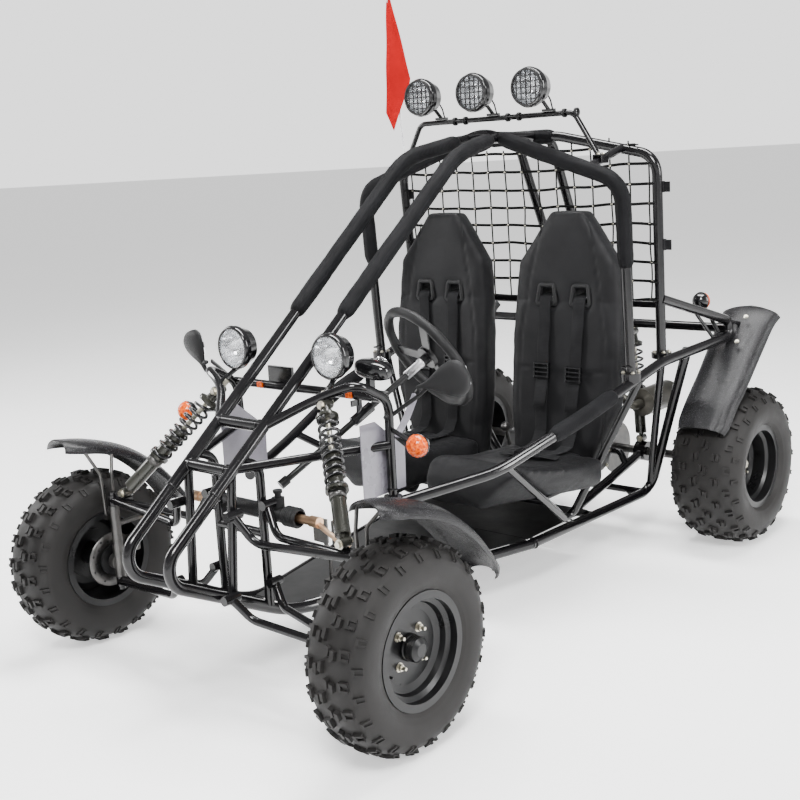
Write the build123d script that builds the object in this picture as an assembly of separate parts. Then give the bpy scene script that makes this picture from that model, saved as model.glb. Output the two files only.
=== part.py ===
from build123d import *
import math
import os

os.makedirs("parts", exist_ok=True)

# Two-seat off-road kart with a tubular roll cage. Millimetres, +Z up, -Y forward,
# +X the vehicle's left. The origin is on the ground in the middle of the wheels.

# Overall layout
wheelbase = 1800
front_track = 1207
rear_track = 1158
cage_half_width = 518
roof_height = 1436
nose_reach = 296
seat_spacing = 510
clearance = 0.3

# Wheels and tyres
front_tyre_od = 514
front_tyre_width = 176
rear_tyre_od = 540
rear_tyre_width = 250
bead_seat_d = 254
rim_flange_d = 284
rim_wall = 4
front_face_out = 30
rear_face_out = 18
front_rim_lip = 76
rear_rim_lip = 102
bead_inset = 10
lug_height = 13
lug_length = 34
lug_pairs = 10
carcass_facets = 32
hub_bore_d = 60
axle_d = 30
spindle_d = 24
shaft_play = 0.05

# Frame tubes
main_od = 32
brace_od = 25
pad_od = 50
arm_od = 22
small_od = 12
weld_gap = 0.3

# Steering
kingpin_x = 480
kingpin_d = 14
knuckle_od = 30
steering_arm = 108
rack_d = 24
tie_rod_d = 14
wheel_ring_r = 165
grip_d = 28
column_d = 18

# Seats and suspension
seat_half_width = 195
seat_lean = 5.5
back_thickness = 75
spring_od = 60
damper_od = 40

# Where the axles lie, so that the tyres are level and the origin is central
front_axle_y = -(wheelbase + rear_tyre_od / 2 - front_tyre_od / 2) / 2
rear_axle_y = front_axle_y + wheelbase
front_axle_z = front_tyre_od / 2
rear_axle_z = rear_tyre_od / 2
front_wheel_x = front_track / 2
rear_wheel_x = rear_track / 2
front_wheel = (front_wheel_x, front_axle_y, front_axle_z)
rear_wheel = (rear_wheel_x, rear_axle_y, rear_axle_z)

parts = {}


def node(name, *shapes):
    """Puts the shapes into one named sub-part, as separate solids."""
    solids = parts.setdefault(name, [])
    for shape in shapes:
        solids.extend(shape.solids())


def both(shape):
    """The shape and its mirror image on the other side."""
    return [shape, mirror(shape, about=Plane.YZ)]


def sides(name, *shapes):
    """The shapes as the left sub-part, and their mirror images as the right one."""
    for shape in shapes:
        left, right = both(shape)
        node(name + "_left", left)
        node(name + "_right", right)


def largest(shape):
    return sorted(shape.solids(), key=lambda s: s.volume)[-1]


def trimmed(shape, *others):
    """The largest piece that is left of the shape outside the others."""
    for other in others:
        shape = largest(shape - other)
    return shape


def tube(points, od, bend=0):
    """A round tube along the points, its corners rounded to the bend radius."""
    path = FilletPolyline(*points, radius=bend) if len(points) > 2 else Line(*points)
    section = Plane(origin=path @ 0, z_dir=path % 0) * Circle(od / 2)
    return sweep(section, path=path)


def rod(start, end, diameter):
    """A straight round bar from start to end."""
    axis = Vector(*end) - Vector(*start)
    return Plane(origin=start, z_dir=axis) * Cylinder(
        diameter / 2, axis.length, align=(Align.CENTER, Align.CENTER, Align.MIN))


def strap(x, points, width, thickness):
    """A flat band across X along the (y, z) points, its corners rounded."""
    shape = None
    for (y1, z1), (y2, z2) in zip(points, points[1:]):
        axis = Vector(0, y2 - y1, z2 - z1)
        run = Plane(origin=(x, y1, z1), x_dir=(1, 0, 0), z_dir=axis) * Box(
            width, thickness, axis.length, align=(Align.CENTER, Align.CENTER, Align.MIN))
        corner = rod((x - width / 2, y2, z2), (x + width / 2, y2, z2), thickness)
        shape = run + corner if shape is None else shape + run + corner
    return shape


def block(low, high, radius=0):
    """A box between two corners, its edges rounded to the radius."""
    size = [b - a for a, b in zip(low, high)]
    centre = [(a + b) / 2 for a, b in zip(low, high)]
    box = Box(*size)
    if radius:
        box = fillet(box.edges(), radius=radius)
    return Pos(*centre) * box


def turned(profile, origin, axis=(1, 0, 0)):
    """A closed outline of (height, radius) points turned about the axis through origin."""
    face = make_face(Polyline(*[(r, 0, h) for h, r in profile], close=True))
    return Plane(origin=origin, z_dir=axis) * revolve(face, axis=Axis.Z)


def plate(outline, origin, x_dir, normal, thickness):
    """A flat plate with the outline's (u, v) points, its back face in the given plane."""
    face = make_face(Polyline(*outline, close=True))
    return Plane(origin=origin, x_dir=x_dir, z_dir=normal) * extrude(face, amount=thickness)


def along(start, end, share):
    """The point at that share of the way from start to end."""
    return tuple(a + (b - a) * share for a, b in zip(start, end))


def flip(point):
    return (-point[0], point[1], point[2])


def shifted(point, dx=0, dy=0, dz=0):
    return (point[0] + dx, point[1] + dy, point[2] + dz)


# Stations of the frame
nose_y = front_axle_y - nose_reach
floor_z = 160
cage_front_y = 290
cage_rear_y = 500
floor_rear_y = rear_axle_y - 100
mid_bar_y = 430

nose_tip = (82, nose_y, 395)
roof_bend = (101, 31, 1366)
floor_front = (80, nose_y + 446, floor_z + 12)
floor_bend = (250, -110, floor_z + 4)
floor_seam = (293, 75, floor_z)
floor_rear = (315, floor_rear_y, floor_z)
hoop_peak = (0, cage_front_y + 16, roof_height)


def on_pillar(z):
    """The point of the pillar's centre line at that height."""
    share = (z - nose_tip[2]) / (roof_bend[2] - nose_tip[2])
    x, y, height = along(nose_tip, roof_bend, share)
    return (x, y, height)


pillar_seam = on_pillar(560)
upper_rung = on_pillar(702)
lower_rung = on_pillar(608)
post_foot = (lower_rung[0] - 6, lower_rung[1] - 24, 280)
loop_top = (89, lower_rung[1] + 92, 606)
loop_foot = (89, lower_rung[1] + 92, 222)
roof_front = (56, cage_front_y + 18, roof_height - 18)
roof_middle = (64, cage_rear_y + 14, roof_height - 24)
roof_rear = (70, cage_rear_y + 95, roof_height - 34)
rear_bar_end = (562, rear_axle_y + 3, 739)
stay_foot = (60, rear_axle_y + 3, 739)
hoop_corner = (cage_half_width, cage_front_y, 1262)
hoop_foot = (cage_half_width - 3, cage_front_y + 34, 682)
back_corner = (cage_half_width, cage_rear_y, 1332)
back_top = (150, cage_rear_y + 12, roof_height - 26)
back_foot = (cage_half_width - 12, cage_rear_y + 34, 712)
rail_front = (292, front_axle_y + 362, 455)
rail_knee = (420, -250, 490)
rail_waist = (500, 80, 590)
rail_shoulder = (538, 480, 690)
rail_tail_low = (566, rear_axle_y + 5, 712)
rail_tail_high = (562, rear_axle_y + 2, 766)
rail_return = (cage_half_width - 4, cage_rear_y + 20, 885)
arch_top = (296, front_axle_y + 236, 806)
arch_back = (300, front_axle_y + 348, 745)
arch_foot = (rail_front[0], rail_front[1] - 8, 474)
dash_end = (298, front_axle_y + 344, 748)
vee_foot = (313, 262, floor_z + 24)
vee_front = along(rail_knee, rail_waist, 0.1)
vee_rear = along(rail_waist, rail_shoulder, 0.72)
seat_bar_z = 310
seat_bar_front = along(vee_front, vee_foot, (vee_front[2] - seat_bar_z) / (vee_front[2] - vee_foot[2]))
seat_bar_rear = along(vee_rear, vee_foot, (vee_rear[2] - seat_bar_z) / (vee_rear[2] - vee_foot[2]))

# Frame tubes. Columns: node, name, outer diameter, bend radius, points on the left side,
# tubes that this one is coped to. Tubes are mirrored to the right side.
mirrored_tubes = [
    ("frame_spine", "nose", main_od, [62, 300, 300],
     [pillar_seam, nose_tip, floor_front, floor_bend, floor_seam], []),
    ("frame_spine", "pillar", main_od, 260, [pillar_seam, roof_bend, roof_front], ["front_hoop"]),
    ("cage_bars", "roof_bar", main_od, 0, [roof_front, roof_middle], ["front_hoop", "back_hoop"]),
    ("cage_bars", "stay", main_od, 70, [roof_middle, roof_rear, stay_foot], ["back_hoop", "rear_bar"]),
    ("cage_bars", "roof_side", brace_od, 0, [(390, cage_front_y + 3, 1305), (398, cage_rear_y + 4, 1362)],
     ["front_hoop", "back_hoop"]),
    ("frame_front", "post", brace_od, 0, [lower_rung, post_foot], ["nose", "pillar"]),
    ("frame_front", "loop", brace_od, 45,
     [along(lower_rung, upper_rung, 0.25), loop_top, loop_foot], ["nose", "pillar", "post"]),
    ("frame_front", "arch", brace_od, [260, 45, 60],
     [upper_rung, (190, front_axle_y + 200, 768), arch_top, arch_back, arch_foot], ["pillar"]),
    ("frame_front", "low_rail", brace_od, 0,
     [along(lower_rung, upper_rung, 0.05), (296, front_axle_y + 346, 622)],
     ["nose", "pillar", "post", "loop", "arch"]),
    ("frame_sides", "side_rail", main_od, [400, 400, 400, 28, 28],
     [rail_front, rail_knee, rail_waist, rail_shoulder, rail_tail_low, rail_tail_high, rail_return],
     ["arch", "back_hoop"]),
    ("frame_floor", "floor_rail", main_od, 55, [floor_seam, floor_rear, (527, 668, 700)],
     ["nose", "side_rail"]),
    ("frame_sides", "vee", brace_od, 40, [vee_front, vee_foot, vee_rear], ["side_rail", "floor_rail"]),
    ("frame_floor", "inner_post", brace_od, 0,
     [(500, 550, 700), (318, floor_rear_y - 12, floor_z + 20)], ["side_rail", "floor_rail"]),
]

# The two hoops cross the vehicle
cross_tubes = [
    ("cage_hoops", "front_hoop", main_od, [90, 160, 90],
     [hoop_foot, hoop_corner, hoop_peak, flip(hoop_corner), flip(hoop_foot)]),
    ("cage_hoops", "back_hoop", main_od, [70, 260, 260, 70],
     [back_foot, back_corner, back_top, flip(back_top), flip(back_corner), flip(back_foot)]),
]

# Straight bars across the vehicle. Columns: node, name, outer diameter, left end, tubes coped to.
cross_bars = [
    ("frame_front", "upper_rung", main_od, upper_rung, ["pillar"]),
    ("frame_front", "lower_rung", main_od, lower_rung, ["pillar"]),
    ("frame_front", "loop_bar", brace_od, (89, loop_foot[1], 420), ["loop"]),
    ("frame_floor", "toe_bar", brace_od, floor_front, ["nose"]),
    ("frame_floor", "foot_bar", brace_od, along(floor_front, floor_bend, 0.55), ["nose"]),
    ("frame_floor", "seam_bar", brace_od, (290, 68, floor_z), ["nose", "floor_rail"]),
    ("frame_floor", "mid_bar", brace_od, (304, mid_bar_y, floor_z), ["floor_rail"]),
    ("frame_floor", "tail_bar", brace_od, (314, floor_rear_y - 40, floor_z), ["floor_rail"]),
    ("cage_bars", "net_bar", brace_od, (512, cage_rear_y + 24, 866), ["back_hoop"]),
    ("cage_bars", "rear_bar", main_od, rear_bar_end, ["side_rail"]),
    ("frame_front", "dash_bar", brace_od, dash_end, ["arch"]),
    ("seat_frames", "seat_bar_front", brace_od, seat_bar_front, ["vee"]),
    ("seat_frames", "seat_bar_rear", brace_od, seat_bar_rear, ["vee"]),
]

catalogue = {}


def coped(shape, names, gap=weld_gap):
    """The tube cut to fit the tubes that it is welded to."""
    for name in names:
        points, od, bend, signs = catalogue[name]
        for sign in signs:
            main = tube([(p[0] * sign, p[1], p[2]) for p in points], od + 2 * gap, bend)
            shape = largest(shape - main)
    return shape


for node_name, name, od, bend, points in cross_tubes:
    catalogue[name] = (points, od, bend, [1])
for node_name, name, od, bend, points, cope in mirrored_tubes:
    catalogue[name] = (points, od, bend, [1, -1])
for node_name, name, od, left, cope in cross_bars:
    catalogue[name] = ([left, flip(left)], od, 0, [1])

for node_name, name, od, bend, points in cross_tubes:
    node(node_name, coped(tube(points, od, bend), ["side_rail"]))

for node_name, name, od, bend, points, cope in mirrored_tubes:
    node(node_name, *both(coped(tube(points, od, bend), cope)))

for node_name, name, od, left, cope in cross_bars:
    node(node_name, coped(tube([left, flip(left)], od), cope))

# Gussets in the rear corners of the floor
corner = (floor_rear[0] - main_od / 2, floor_rear_y - 40 - brace_od / 2, floor_z - 2)
gusset = plate([(2, 2), (-64, 2), (2, -64)], corner, (1, 0, 0), (0, 0, 1), 4)
node("frame_floor", *both(coped(gusset, ["floor_rail", "tail_bar"])))

# Bolted flanges at the feet of the hoops
for foot, rail_z in ((hoop_foot, 652), (back_foot, 694)):
    flange = rod((foot[0], foot[1] + 1, rail_z), shifted(foot, dz=-4 * clearance), 2 * main_od)
    node("cage_hoops", *both(coped(flange, ["side_rail", "floor_rail", "inner_post"])))

# Foam sleeves. Columns: outline points, bend radius, tubes that pass out through the sleeve.
hoop_pad_end = along(hoop_corner, hoop_foot, 0.44)
hoop_pad_top = along(hoop_corner, hoop_peak, 0.86)
rail_pad = [along(rail_knee, rail_waist, 0.62), rail_waist, along(rail_waist, rail_shoulder, 0.36)]
pad_runs = [
    ([on_pillar(951), roof_bend, along(roof_bend, roof_front, 0.8)], 260, ["front_hoop"]),
    ([hoop_pad_end, hoop_corner, hoop_pad_top], 90, ["roof_side", "pillar", "roof_bar"]),
    (rail_pad, 400, ["vee"]),
]
for points, bend, crossing in pad_runs:
    sleeve = tube(points, pad_od, bend)
    bore = tube(points, main_od + 2 * clearance, bend)
    node("cage_pads", *both(coped(largest(sleeve - bore), crossing, gap=clearance + 1)))
top_pad = [along(back_top, flip(back_top), 0.06), along(back_top, flip(back_top), 0.94)]
top_sleeve = tube(top_pad, pad_od) - tube(top_pad, main_od + 2 * clearance)
top_sleeve = coped(largest(top_sleeve), ["roof_bar", "stay"], gap=clearance)
node("cage_pads", top_sleeve)

# Floor pan of three plates between the rails
pan_t = 3
pan_seam_z = floor_z + brace_od / 2 + 1.1
pan_front_z = pan_seam_z + floor_front[2] - floor_z
slope = Vector(0, floor_front[1] - floor_seam[1], pan_front_z - pan_seam_z)
slope_length = slope.length
front_pan = plate(
    [(-floor_seam[0] + 14, 4), (floor_seam[0] - 14, 4), (floor_bend[0] - 16, 185),
     (floor_front[0] - 12, slope_length - 6), (12 - floor_front[0], slope_length - 6), (16 - floor_bend[0], 185)],
    (0, floor_seam[1], pan_seam_z), (-1, 0, 0), Vector(-1, 0, 0).cross(slope), pan_t)
rear_pan = block((-floor_seam[0] + 13, floor_seam[1] + 1, floor_z + brace_od / 2 + clearance),
                 (floor_seam[0] - 13, mid_bar_y, floor_z + brace_od / 2 + clearance + pan_t))
toe_run = Vector(0, nose_y + 130 - floor_front[1], (floor_front[1] - nose_y - 130) / 2)
toe_half = floor_front[0] - main_od / 2 - clearance
toe_plate = plate(
    [(-toe_half, 30), (toe_half, 30), (toe_half, toe_run.length - 30), (-toe_half, toe_run.length - 30)],
    floor_front, (-1, 0, 0), Vector(-1, 0, 0).cross(toe_run), pan_t)
node("floor_pan", front_pan, rear_pan, Pos(-floor_front[0], 0, 0) * toe_plate)

# Front wheels: tyre, stepped dish, hub with brake disc and cap
def mirrored_profile(half):
    """An outline that runs along one half and back along the other."""
    return half + [(-h, r) for h, r in reversed(half)]


bead_r = bead_seat_d / 2
flange_r = rim_flange_d / 2


def tyre(centre, od, width, lip, shoulder):
    """A faceted carcass with two staggered rows of lugs, each a bar from the middle over the shoulder."""
    crown_r = od / 2 - lug_height
    bead_half = lip - rim_wall - bead_inset
    bore_r = (bead_r + clearance) / math.cos(math.pi / carcass_facets)
    half = [(bead_half, bore_r), (width / 2 - 3, bead_r + 64), (width / 2 - 8, crown_r - shoulder),
            (width / 2 - 26, crown_r)]
    sections = [Plane.YZ.offset(h) * RegularPolygon(r, carcass_facets) for h, r in
                [(-h, r) for h, r in half] + [(h, r) for h, r in reversed(half)]]
    carcass = loft(sections, ruled=True)
    carcass = carcass - extrude(Plane.YZ.offset(-width) * RegularPolygon(bore_r, carcass_facets), amount=2 * width)
    lugs = []
    for i in range(2 * lug_pairs):
        side = 1 if i % 2 else -1
        bar = block((-14, -lug_length / 2, crown_r - 6), (width / 2 - 30, lug_length / 2, od / 2))
        tip = block((width / 2 - 34, -lug_length / 2, crown_r - shoulder - 4),
                    (width / 2, lug_length / 2, od / 2 - 8))
        turn = Rot(180 * i / lug_pairs + 180, 0, 0)
        lugs.append(turn * (bar + tip if side > 0 else mirror(bar + tip, about=Plane.YZ)))
    return Pos(*centre) * (carcass + lugs)


def rim(centre, lip, face_out, steps):
    """A rim barrel with both flanges, and its dish that steps down to the wheel face."""
    outer = lip - rim_wall
    back = [(h - rim_wall, r + rim_wall) for h, r in reversed(steps)]
    profile = [(-lip, flange_r), (-outer, flange_r), (-outer, bead_r), (outer, bead_r), (outer, flange_r),
               (lip, flange_r), (lip, bead_r - rim_wall)] + steps + [
        (face_out, hub_bore_d / 2), (face_out - rim_wall, hub_bore_d / 2)] + back + [
        (-lip, bead_r - rim_wall)]
    return turned(profile, centre)


front_steps = [(56, bead_r - rim_wall), (50, 111), (36, 107), (front_face_out, 90)]
rear_steps = [(74, bead_r - rim_wall), (66, 113), (26, 109), (rear_face_out, 92)]
sides("tyre_front", tyre(front_wheel, front_tyre_od, front_tyre_width, front_rim_lip, 24))
sides("tyre_rear", tyre(rear_wheel, rear_tyre_od, rear_tyre_width, rear_rim_lip, 24))
sides("rim_front", rim(front_wheel, front_rim_lip, front_face_out, front_steps))
sides("rim_rear", rim(rear_wheel, rear_rim_lip, rear_face_out, rear_steps))

spigot_r = hub_bore_d / 2 - 0.1
face_x = front_wheel_x + front_face_out
hub_inner_x = kingpin_x + 26
disc_t = 4
disc_r = 80
hub_centre = (0, front_axle_y, front_axle_z)
hub_bore_r = spindle_d / 2 + shaft_play
disc_x = hub_inner_x + 8
hub = turned([
    (hub_inner_x, hub_bore_r), (face_x + 6, hub_bore_r), (face_x + 6, spigot_r),
    (face_x - rim_wall - clearance, spigot_r), (face_x - rim_wall - clearance, 72), (face_x - 11, 72),
    (face_x - 11, 34), (hub_inner_x + 20, 34), (hub_inner_x + 20, 44), (hub_inner_x, 44)], hub_centre)
brake_disc = turned([
    (disc_x, 44 + clearance), (disc_x + disc_t, 44 + clearance), (disc_x + disc_t, disc_r), (disc_x, disc_r)],
    hub_centre)
hub_cap = turned([
    (face_x + 6, 22), (face_x + 6, spigot_r), (face_x + 32, spigot_r - 2), (face_x + 40, 16), (face_x + 40, 0),
    (face_x + 36, 0), (face_x + 36, 14), (face_x + 29, 22)], hub_centre)
sides("hub_front", hub, hub_cap, brake_disc)

# Front suspension: each arm is one weldment of two tubes, two pivot sleeves and an outer eye
pivot_od = 26
eye_od = 28
eye_half = 15
head_t = 9
king_bore = kingpin_d + 2 * shaft_play
shock_foot = (432, front_axle_y + 14, 470)
shock_top = (212, front_axle_y + 203, 752)


def arm(front_pivot, rear_pivot, elbow_z, eye_z, pivot_z):
    """A wishbone from its two pivots on the frame out to the kingpin."""
    shape = None
    for x, y, length, turn in ((*front_pivot, 50, 27), (*rear_pivot, 40, -18)):
        pivot = (x, y, pivot_z)
        sleeve = rod(shifted(pivot, dy=-length / 2), shifted(pivot, dy=length / 2), pivot_od)
        leg = tube([pivot, (x + 46, y + turn, elbow_z), (kingpin_x - 2, front_axle_y + (y - front_axle_y) * 0.05,
                                                         eye_z)], arm_od, 50)
        shape = sleeve + leg if shape is None else shape + sleeve + leg
    eye = rod((kingpin_x, front_axle_y, eye_z - eye_half), (kingpin_x, front_axle_y, eye_z + eye_half), eye_od)
    shape = shape + eye
    return shape - rod((kingpin_x, front_axle_y, eye_z - 60), (kingpin_x, front_axle_y, eye_z + 60), king_bore)


lower_eye_z = 197
upper_eye_z = 443
front_pivot_x = post_foot[0] + 2 + brace_od / 2 + pivot_od / 2 + 2
rear_pivot_x = loop_foot[0] + brace_od / 2 + pivot_od / 2 + clearance
upper_arm = arm((front_pivot_x + 2, post_foot[1] - 4), (rear_pivot_x, loop_foot[1] - 4), 429, upper_eye_z, 504)
lower_arm = arm((front_pivot_x + 3, post_foot[1] - 34), (rear_pivot_x, loop_foot[1]), 235, lower_eye_z, 292)
lug = block((shock_foot[0] - 12, shock_foot[1] - 12, upper_eye_z - 8), (
    shock_foot[0] + 12, shock_foot[1] + 12, shock_foot[2] - 14 - clearance))
node("arms_lower", *both(lower_arm))
node("arms_upper", *both(upper_arm + lug))
for head_z in (lower_eye_z - eye_half - head_t, upper_eye_z + eye_half):
    head = rod((kingpin_x, front_axle_y, head_z), (kingpin_x, front_axle_y, head_z + head_t), 22)
    node("arms_lower", *both(head))
pin = rod((kingpin_x, front_axle_y, lower_eye_z - eye_half), (kingpin_x, front_axle_y, upper_eye_z + eye_half),
          kingpin_d)
node("arms_lower", *both(pin))


def coil_over(foot, top, spring_from):
    """A damper with its eyes and spring seats, and its spring as a ribbed sleeve."""
    axis = Vector(*top) - Vector(*foot)
    length = axis.length
    damper = turned([
        (0, 0), (0, 9), (20, 9), (20, damper_od / 2), (spring_from - 8, damper_od / 2),
        (spring_from - 8, spring_od / 2), (spring_from, spring_od / 2), (spring_from, damper_od / 2),
        (length * 0.62, damper_od / 2), (length * 0.62, 7), (length - 46, 7), (length - 46, spring_od / 2),
        (length - 38, spring_od / 2), (length - 32, 16), (length, 12), (length, 0)], foot, axis)
    for end in (foot, top):
        damper = damper + rod(shifted(end, dy=-16), shifted(end, dy=16), eye_od)
    turns = 9
    pitch = (length - 46 - spring_from - 2 * clearance) / turns
    ribs = [(spring_from + clearance + pitch * (i + share), spring_od / 2 - inset)
            for i in range(turns) for share, inset in ((0, 6), (0.5, 0))]
    last = (length - 46 - clearance, spring_od / 2 - 6)
    inner = damper_od / 2 + 1
    spring = turned([(ribs[0][0], inner)] + ribs + [last, (last[0], inner)], foot, axis)
    return damper, spring


front_damper, front_spring = coil_over(shock_foot, shock_top, 150)
node("dampers", *both(coped(front_damper, ["arch"])))
node("springs", *both(front_spring))

# Knuckles with spindle, steering arm and brake caliper
steer_eye = (kingpin_x, front_axle_y + steering_arm, 370)
knuckle_low = lower_eye_z + eye_half + 1
knuckle_high = upper_eye_z - eye_half - 1
knuckle = rod((kingpin_x, front_axle_y, knuckle_low), (kingpin_x, front_axle_y, knuckle_high), knuckle_od)
knuckle = knuckle + rod((kingpin_x, front_axle_y, front_axle_z), (kingpin_x + 20, front_axle_y, front_axle_z), 48)
knuckle = knuckle + rod((kingpin_x, front_axle_y, front_axle_z), (face_x + 10, front_axle_y, front_axle_z), spindle_d)
knuckle = knuckle + block((kingpin_x - 11, front_axle_y, 366), (kingpin_x + 11, steer_eye[1], 374))
knuckle = knuckle + rod(shifted(steer_eye, dz=-4), shifted(steer_eye, dz=4), 26)
knuckle = knuckle + block((kingpin_x, front_axle_y + 12, 272), (kingpin_x + 16, front_axle_y + 76, 298))
knuckle = knuckle - rod((kingpin_x, front_axle_y, 0), (kingpin_x, front_axle_y, 600), king_bore)
caliper = block((kingpin_x + 16 + clearance, front_axle_y + 52, 264), (kingpin_x + 52, front_axle_y + 92, 312), 5)
caliper = caliper - turned([(disc_x - 3, 0), (disc_x + disc_t + 3, 0), (disc_x + disc_t + 3, disc_r + 3),
                            (disc_x - 3, disc_r + 3)], hub_centre)
sides("knuckle", knuckle, caliper)


def mudguard(points, bend, width, crown, thickness):
    """A crowned strip swept along the points, in a plane of constant X."""
    path = FilletPolyline(*points, radius=bend)
    half = width / 2
    section = make_face(
        ThreePointArc((-half, -crown), (0, 0), (half, -crown))
        + Line((half, -crown), (half, -crown - thickness))
        + ThreePointArc((half, -crown - thickness), (0, -thickness), (-half, -crown - thickness))
        + Line((-half, -crown - thickness), (-half, -crown)))
    across = Plane(origin=path @ 0, x_dir=(1, 0, 0), z_dir=path % 0)
    return sweep(across * section, path=path)


guard_t = 4
front_guard = mudguard(
    [(front_wheel_x, front_axle_y + 345, 345), (front_wheel_x, front_axle_y + 150, 560),
     (front_wheel_x, front_axle_y - 150, 640)], 260, 150, 22, guard_t)
front_stays = [
    tube([(kingpin_x + 24, front_axle_y + dy * 0.2, 392), (kingpin_x + 24, front_axle_y + dy * 0.3, 520),
          (kingpin_x + 80, front_axle_y + dy, reach)], 10, 24)
    for dy, reach in ((-60, 640), (70, 600))]
stay_foot_block = block((kingpin_x + 12, front_axle_y - 18, 384), (kingpin_x + 30, front_axle_y + 20, 398))
front_stays = [trimmed(stay - stay_foot_block, front_guard) for stay in front_stays]
sides("knuckle", trimmed(stay_foot_block, rod((kingpin_x, front_axle_y, 300), (kingpin_x, front_axle_y, 500),
                                               knuckle_od)))
sides("front_fender", front_guard)
sides("knuckle", *front_stays)

rear_guard = mudguard(
    [(rear_wheel_x + 8, rear_axle_y + 128, 804), (rear_wheel_x + 8, rear_axle_y - 94, 592),
     (rear_wheel_x + 8, rear_axle_y - 254, 446)], 240, 226, 26, guard_t)
guard_rods = [
    ((536, rear_axle_y - 210, 838), (rear_wheel_x - 10, rear_axle_y - 20, 640)),
    ((552, rear_axle_y - 60, 782), (rear_wheel_x + 10, rear_axle_y + 80, 740)),
]
sides("rear_fender", rear_guard)
for start, end in guard_rods:
    node("rear_brackets", *both(trimmed(coped(rod(start, end, small_od), ["side_rail"]), rear_guard)))

# Steering gear: housing with boots, sliding rack with tie rods, joint, column and wheel
rack_y = front_axle_y + steering_arm + 6
rack_z = 462
rack_half = 235
housing_half = 126
tie_drop = 350
pinion_x = 100
rack_bore = rack_d / 2 + shaft_play
housing = turned([(-housing_half, rack_bore), (housing_half, rack_bore), (housing_half, 22), (-housing_half, 22)],
                 (0, rack_y, rack_z))
housing = housing + trimmed(rod((pinion_x, rack_y, rack_z), (pinion_x, rack_y, rack_z + 46), 34),
                            rod((0, rack_y, rack_z), (200, rack_y, rack_z), 40))
node("steering_rack", housing)
for sign in (1, -1):
    clamp = block((sign * 82 - 7, loop_foot[1] + 2, rack_z - 14), (sign * 82 + 7, rack_y, rack_z + 14))
    clamp = trimmed(clamp, rod((-200, rack_y, rack_z), (200, rack_y, rack_z), 44.2))
    node("steering_rack", coped(clamp, ["loop"]))
boot_start = housing_half + clearance
boot_ribs = [(boot_start + 6.5 * i, 28 if i % 2 else 23) for i in range(9)]
boot = turned([(boot_start, 20)] + boot_ribs + [(boot_ribs[-1][0], 20)], (0, rack_y, rack_z))
node("steering_rack", *both(boot))
tie_inner = (rack_half, rack_y, rack_z)
tie_outer = (kingpin_x, front_axle_y + steering_arm, tie_drop)
ball_r = 15
rack_half_outline = [(0, rack_d / 2), (rack_half - ball_r, rack_d / 2), (rack_half - ball_r, ball_r),
                     (rack_half + ball_r, ball_r), (rack_half + ball_r, 0)]
rack = turned([(-h, r) for h, r in reversed(rack_half_outline)] + rack_half_outline[1:], (0, rack_y, rack_z))
tie_rod = rod(tie_inner, tie_outer, tie_rod_d) + rod(shifted(tie_outer, dz=-8), shifted(tie_outer, dz=8), 26)
for side in both(tie_rod):
    rack = rack + side
node("rack_and_tie_rods", rack)

joint_centre = (pinion_x, rack_y, 533)
wheel_hub = (255, front_axle_y + 574, 819)
column_axis = Vector(*wheel_hub) - Vector(*joint_centre)
lower_shaft = turned([(0, 0), (0, 9), (12, 9), (12, 13), (20, 13), (20, 0)],
                     (pinion_x, rack_y, rack_z + 46 + clearance), (0, 0, 1))
node("steering_rack", lower_shaft)
shaft_start = along(joint_centre, wheel_hub, 0.02)
column = turned([(0, 0), (0, 13), (26, 13), (26, column_d / 2), (column_axis.length - 30, column_d / 2),
                 (column_axis.length - 30, 0)], shaft_start, column_axis)
node("steering_column", column)
ring_plane = Plane(origin=wheel_hub, x_dir=(1, 0, -column_axis.X / column_axis.Z), z_dir=column_axis)
node("steering_rim", ring_plane * Torus(wheel_ring_r, grip_d / 2))
boss = Cylinder(34, 14)
spokes = boss
for angle in (0, 120, 240):
    spoke = Rot(0, 0, angle - 90) * Pos((wheel_ring_r - grip_d / 2) / 2 + 2, 0, 0) * Box(
        wheel_ring_r - grip_d / 2, 30, 4)
    spokes = spokes + spoke
spokes = trimmed(spokes, Torus(wheel_ring_r, grip_d / 2 + clearance / 3))
boss_seat = Pos(0, 0, -16) * Cylinder(15, 18)
node("steering_column", ring_plane * trimmed(spokes + boss_seat, Pos(0, 0, -32) * Cylinder(column_d / 2, 30)))
sleeve_mid = along(joint_centre, wheel_hub, 0.55)
sleeve_bore = column_d / 2 + shaft_play
sleeve = turned([(-35, sleeve_bore), (35, sleeve_bore), (35, 15), (-35, 15)], sleeve_mid, column_axis)
hanger = block((sleeve_mid[0] - 3, dash_end[1] - 20, sleeve_mid[2] - 10),
               (sleeve_mid[0] + 3, dash_end[1] + 40, dash_end[2] + 8))
hanger = coped(trimmed(hanger, turned([(-60, 0), (60, 0), (60, 14), (-60, 14)], sleeve_mid, column_axis)),
               ["dash_bar"])
node("dash", trimmed(sleeve, hanger), hanger)

# Seats
seat_x = seat_spacing / 2
lean = math.radians(seat_lean)
back_foot_z = 335
back_foot_y = 379
back_up = (0, math.sin(lean), math.cos(lean))
back_plane = Plane(origin=(seat_x, back_foot_y, back_foot_z), x_dir=(1, 0, 0),
                   z_dir=(0, -math.cos(lean), math.sin(lean)))
upper_outline = [(205, 440), (185, 675), (101, 790), (60, 842)]
outline = [(106, 0), (194, 202), (205, 300)] + upper_outline + [(-u, v) for u, v in reversed(upper_outline)] + [
    (-205, 200), (10 - seat_half_width, 0)]
seat_back = fillet(extrude(make_face(Polyline(*outline, close=True)), amount=back_thickness).edges(), radius=14)
belt_u = 64
belt_v = 568
hole = [(-34, -30), (34, -30), (26, 30), (-26, 30)]
for sign in (1, -1):
    opening = Pos(sign * belt_u, belt_v, -20) * extrude(make_face(Polyline(*hole, close=True)), amount=140)
    seat_back = seat_back - opening
seat_base_z = seat_bar_z + brace_od / 2 + clearance
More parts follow.
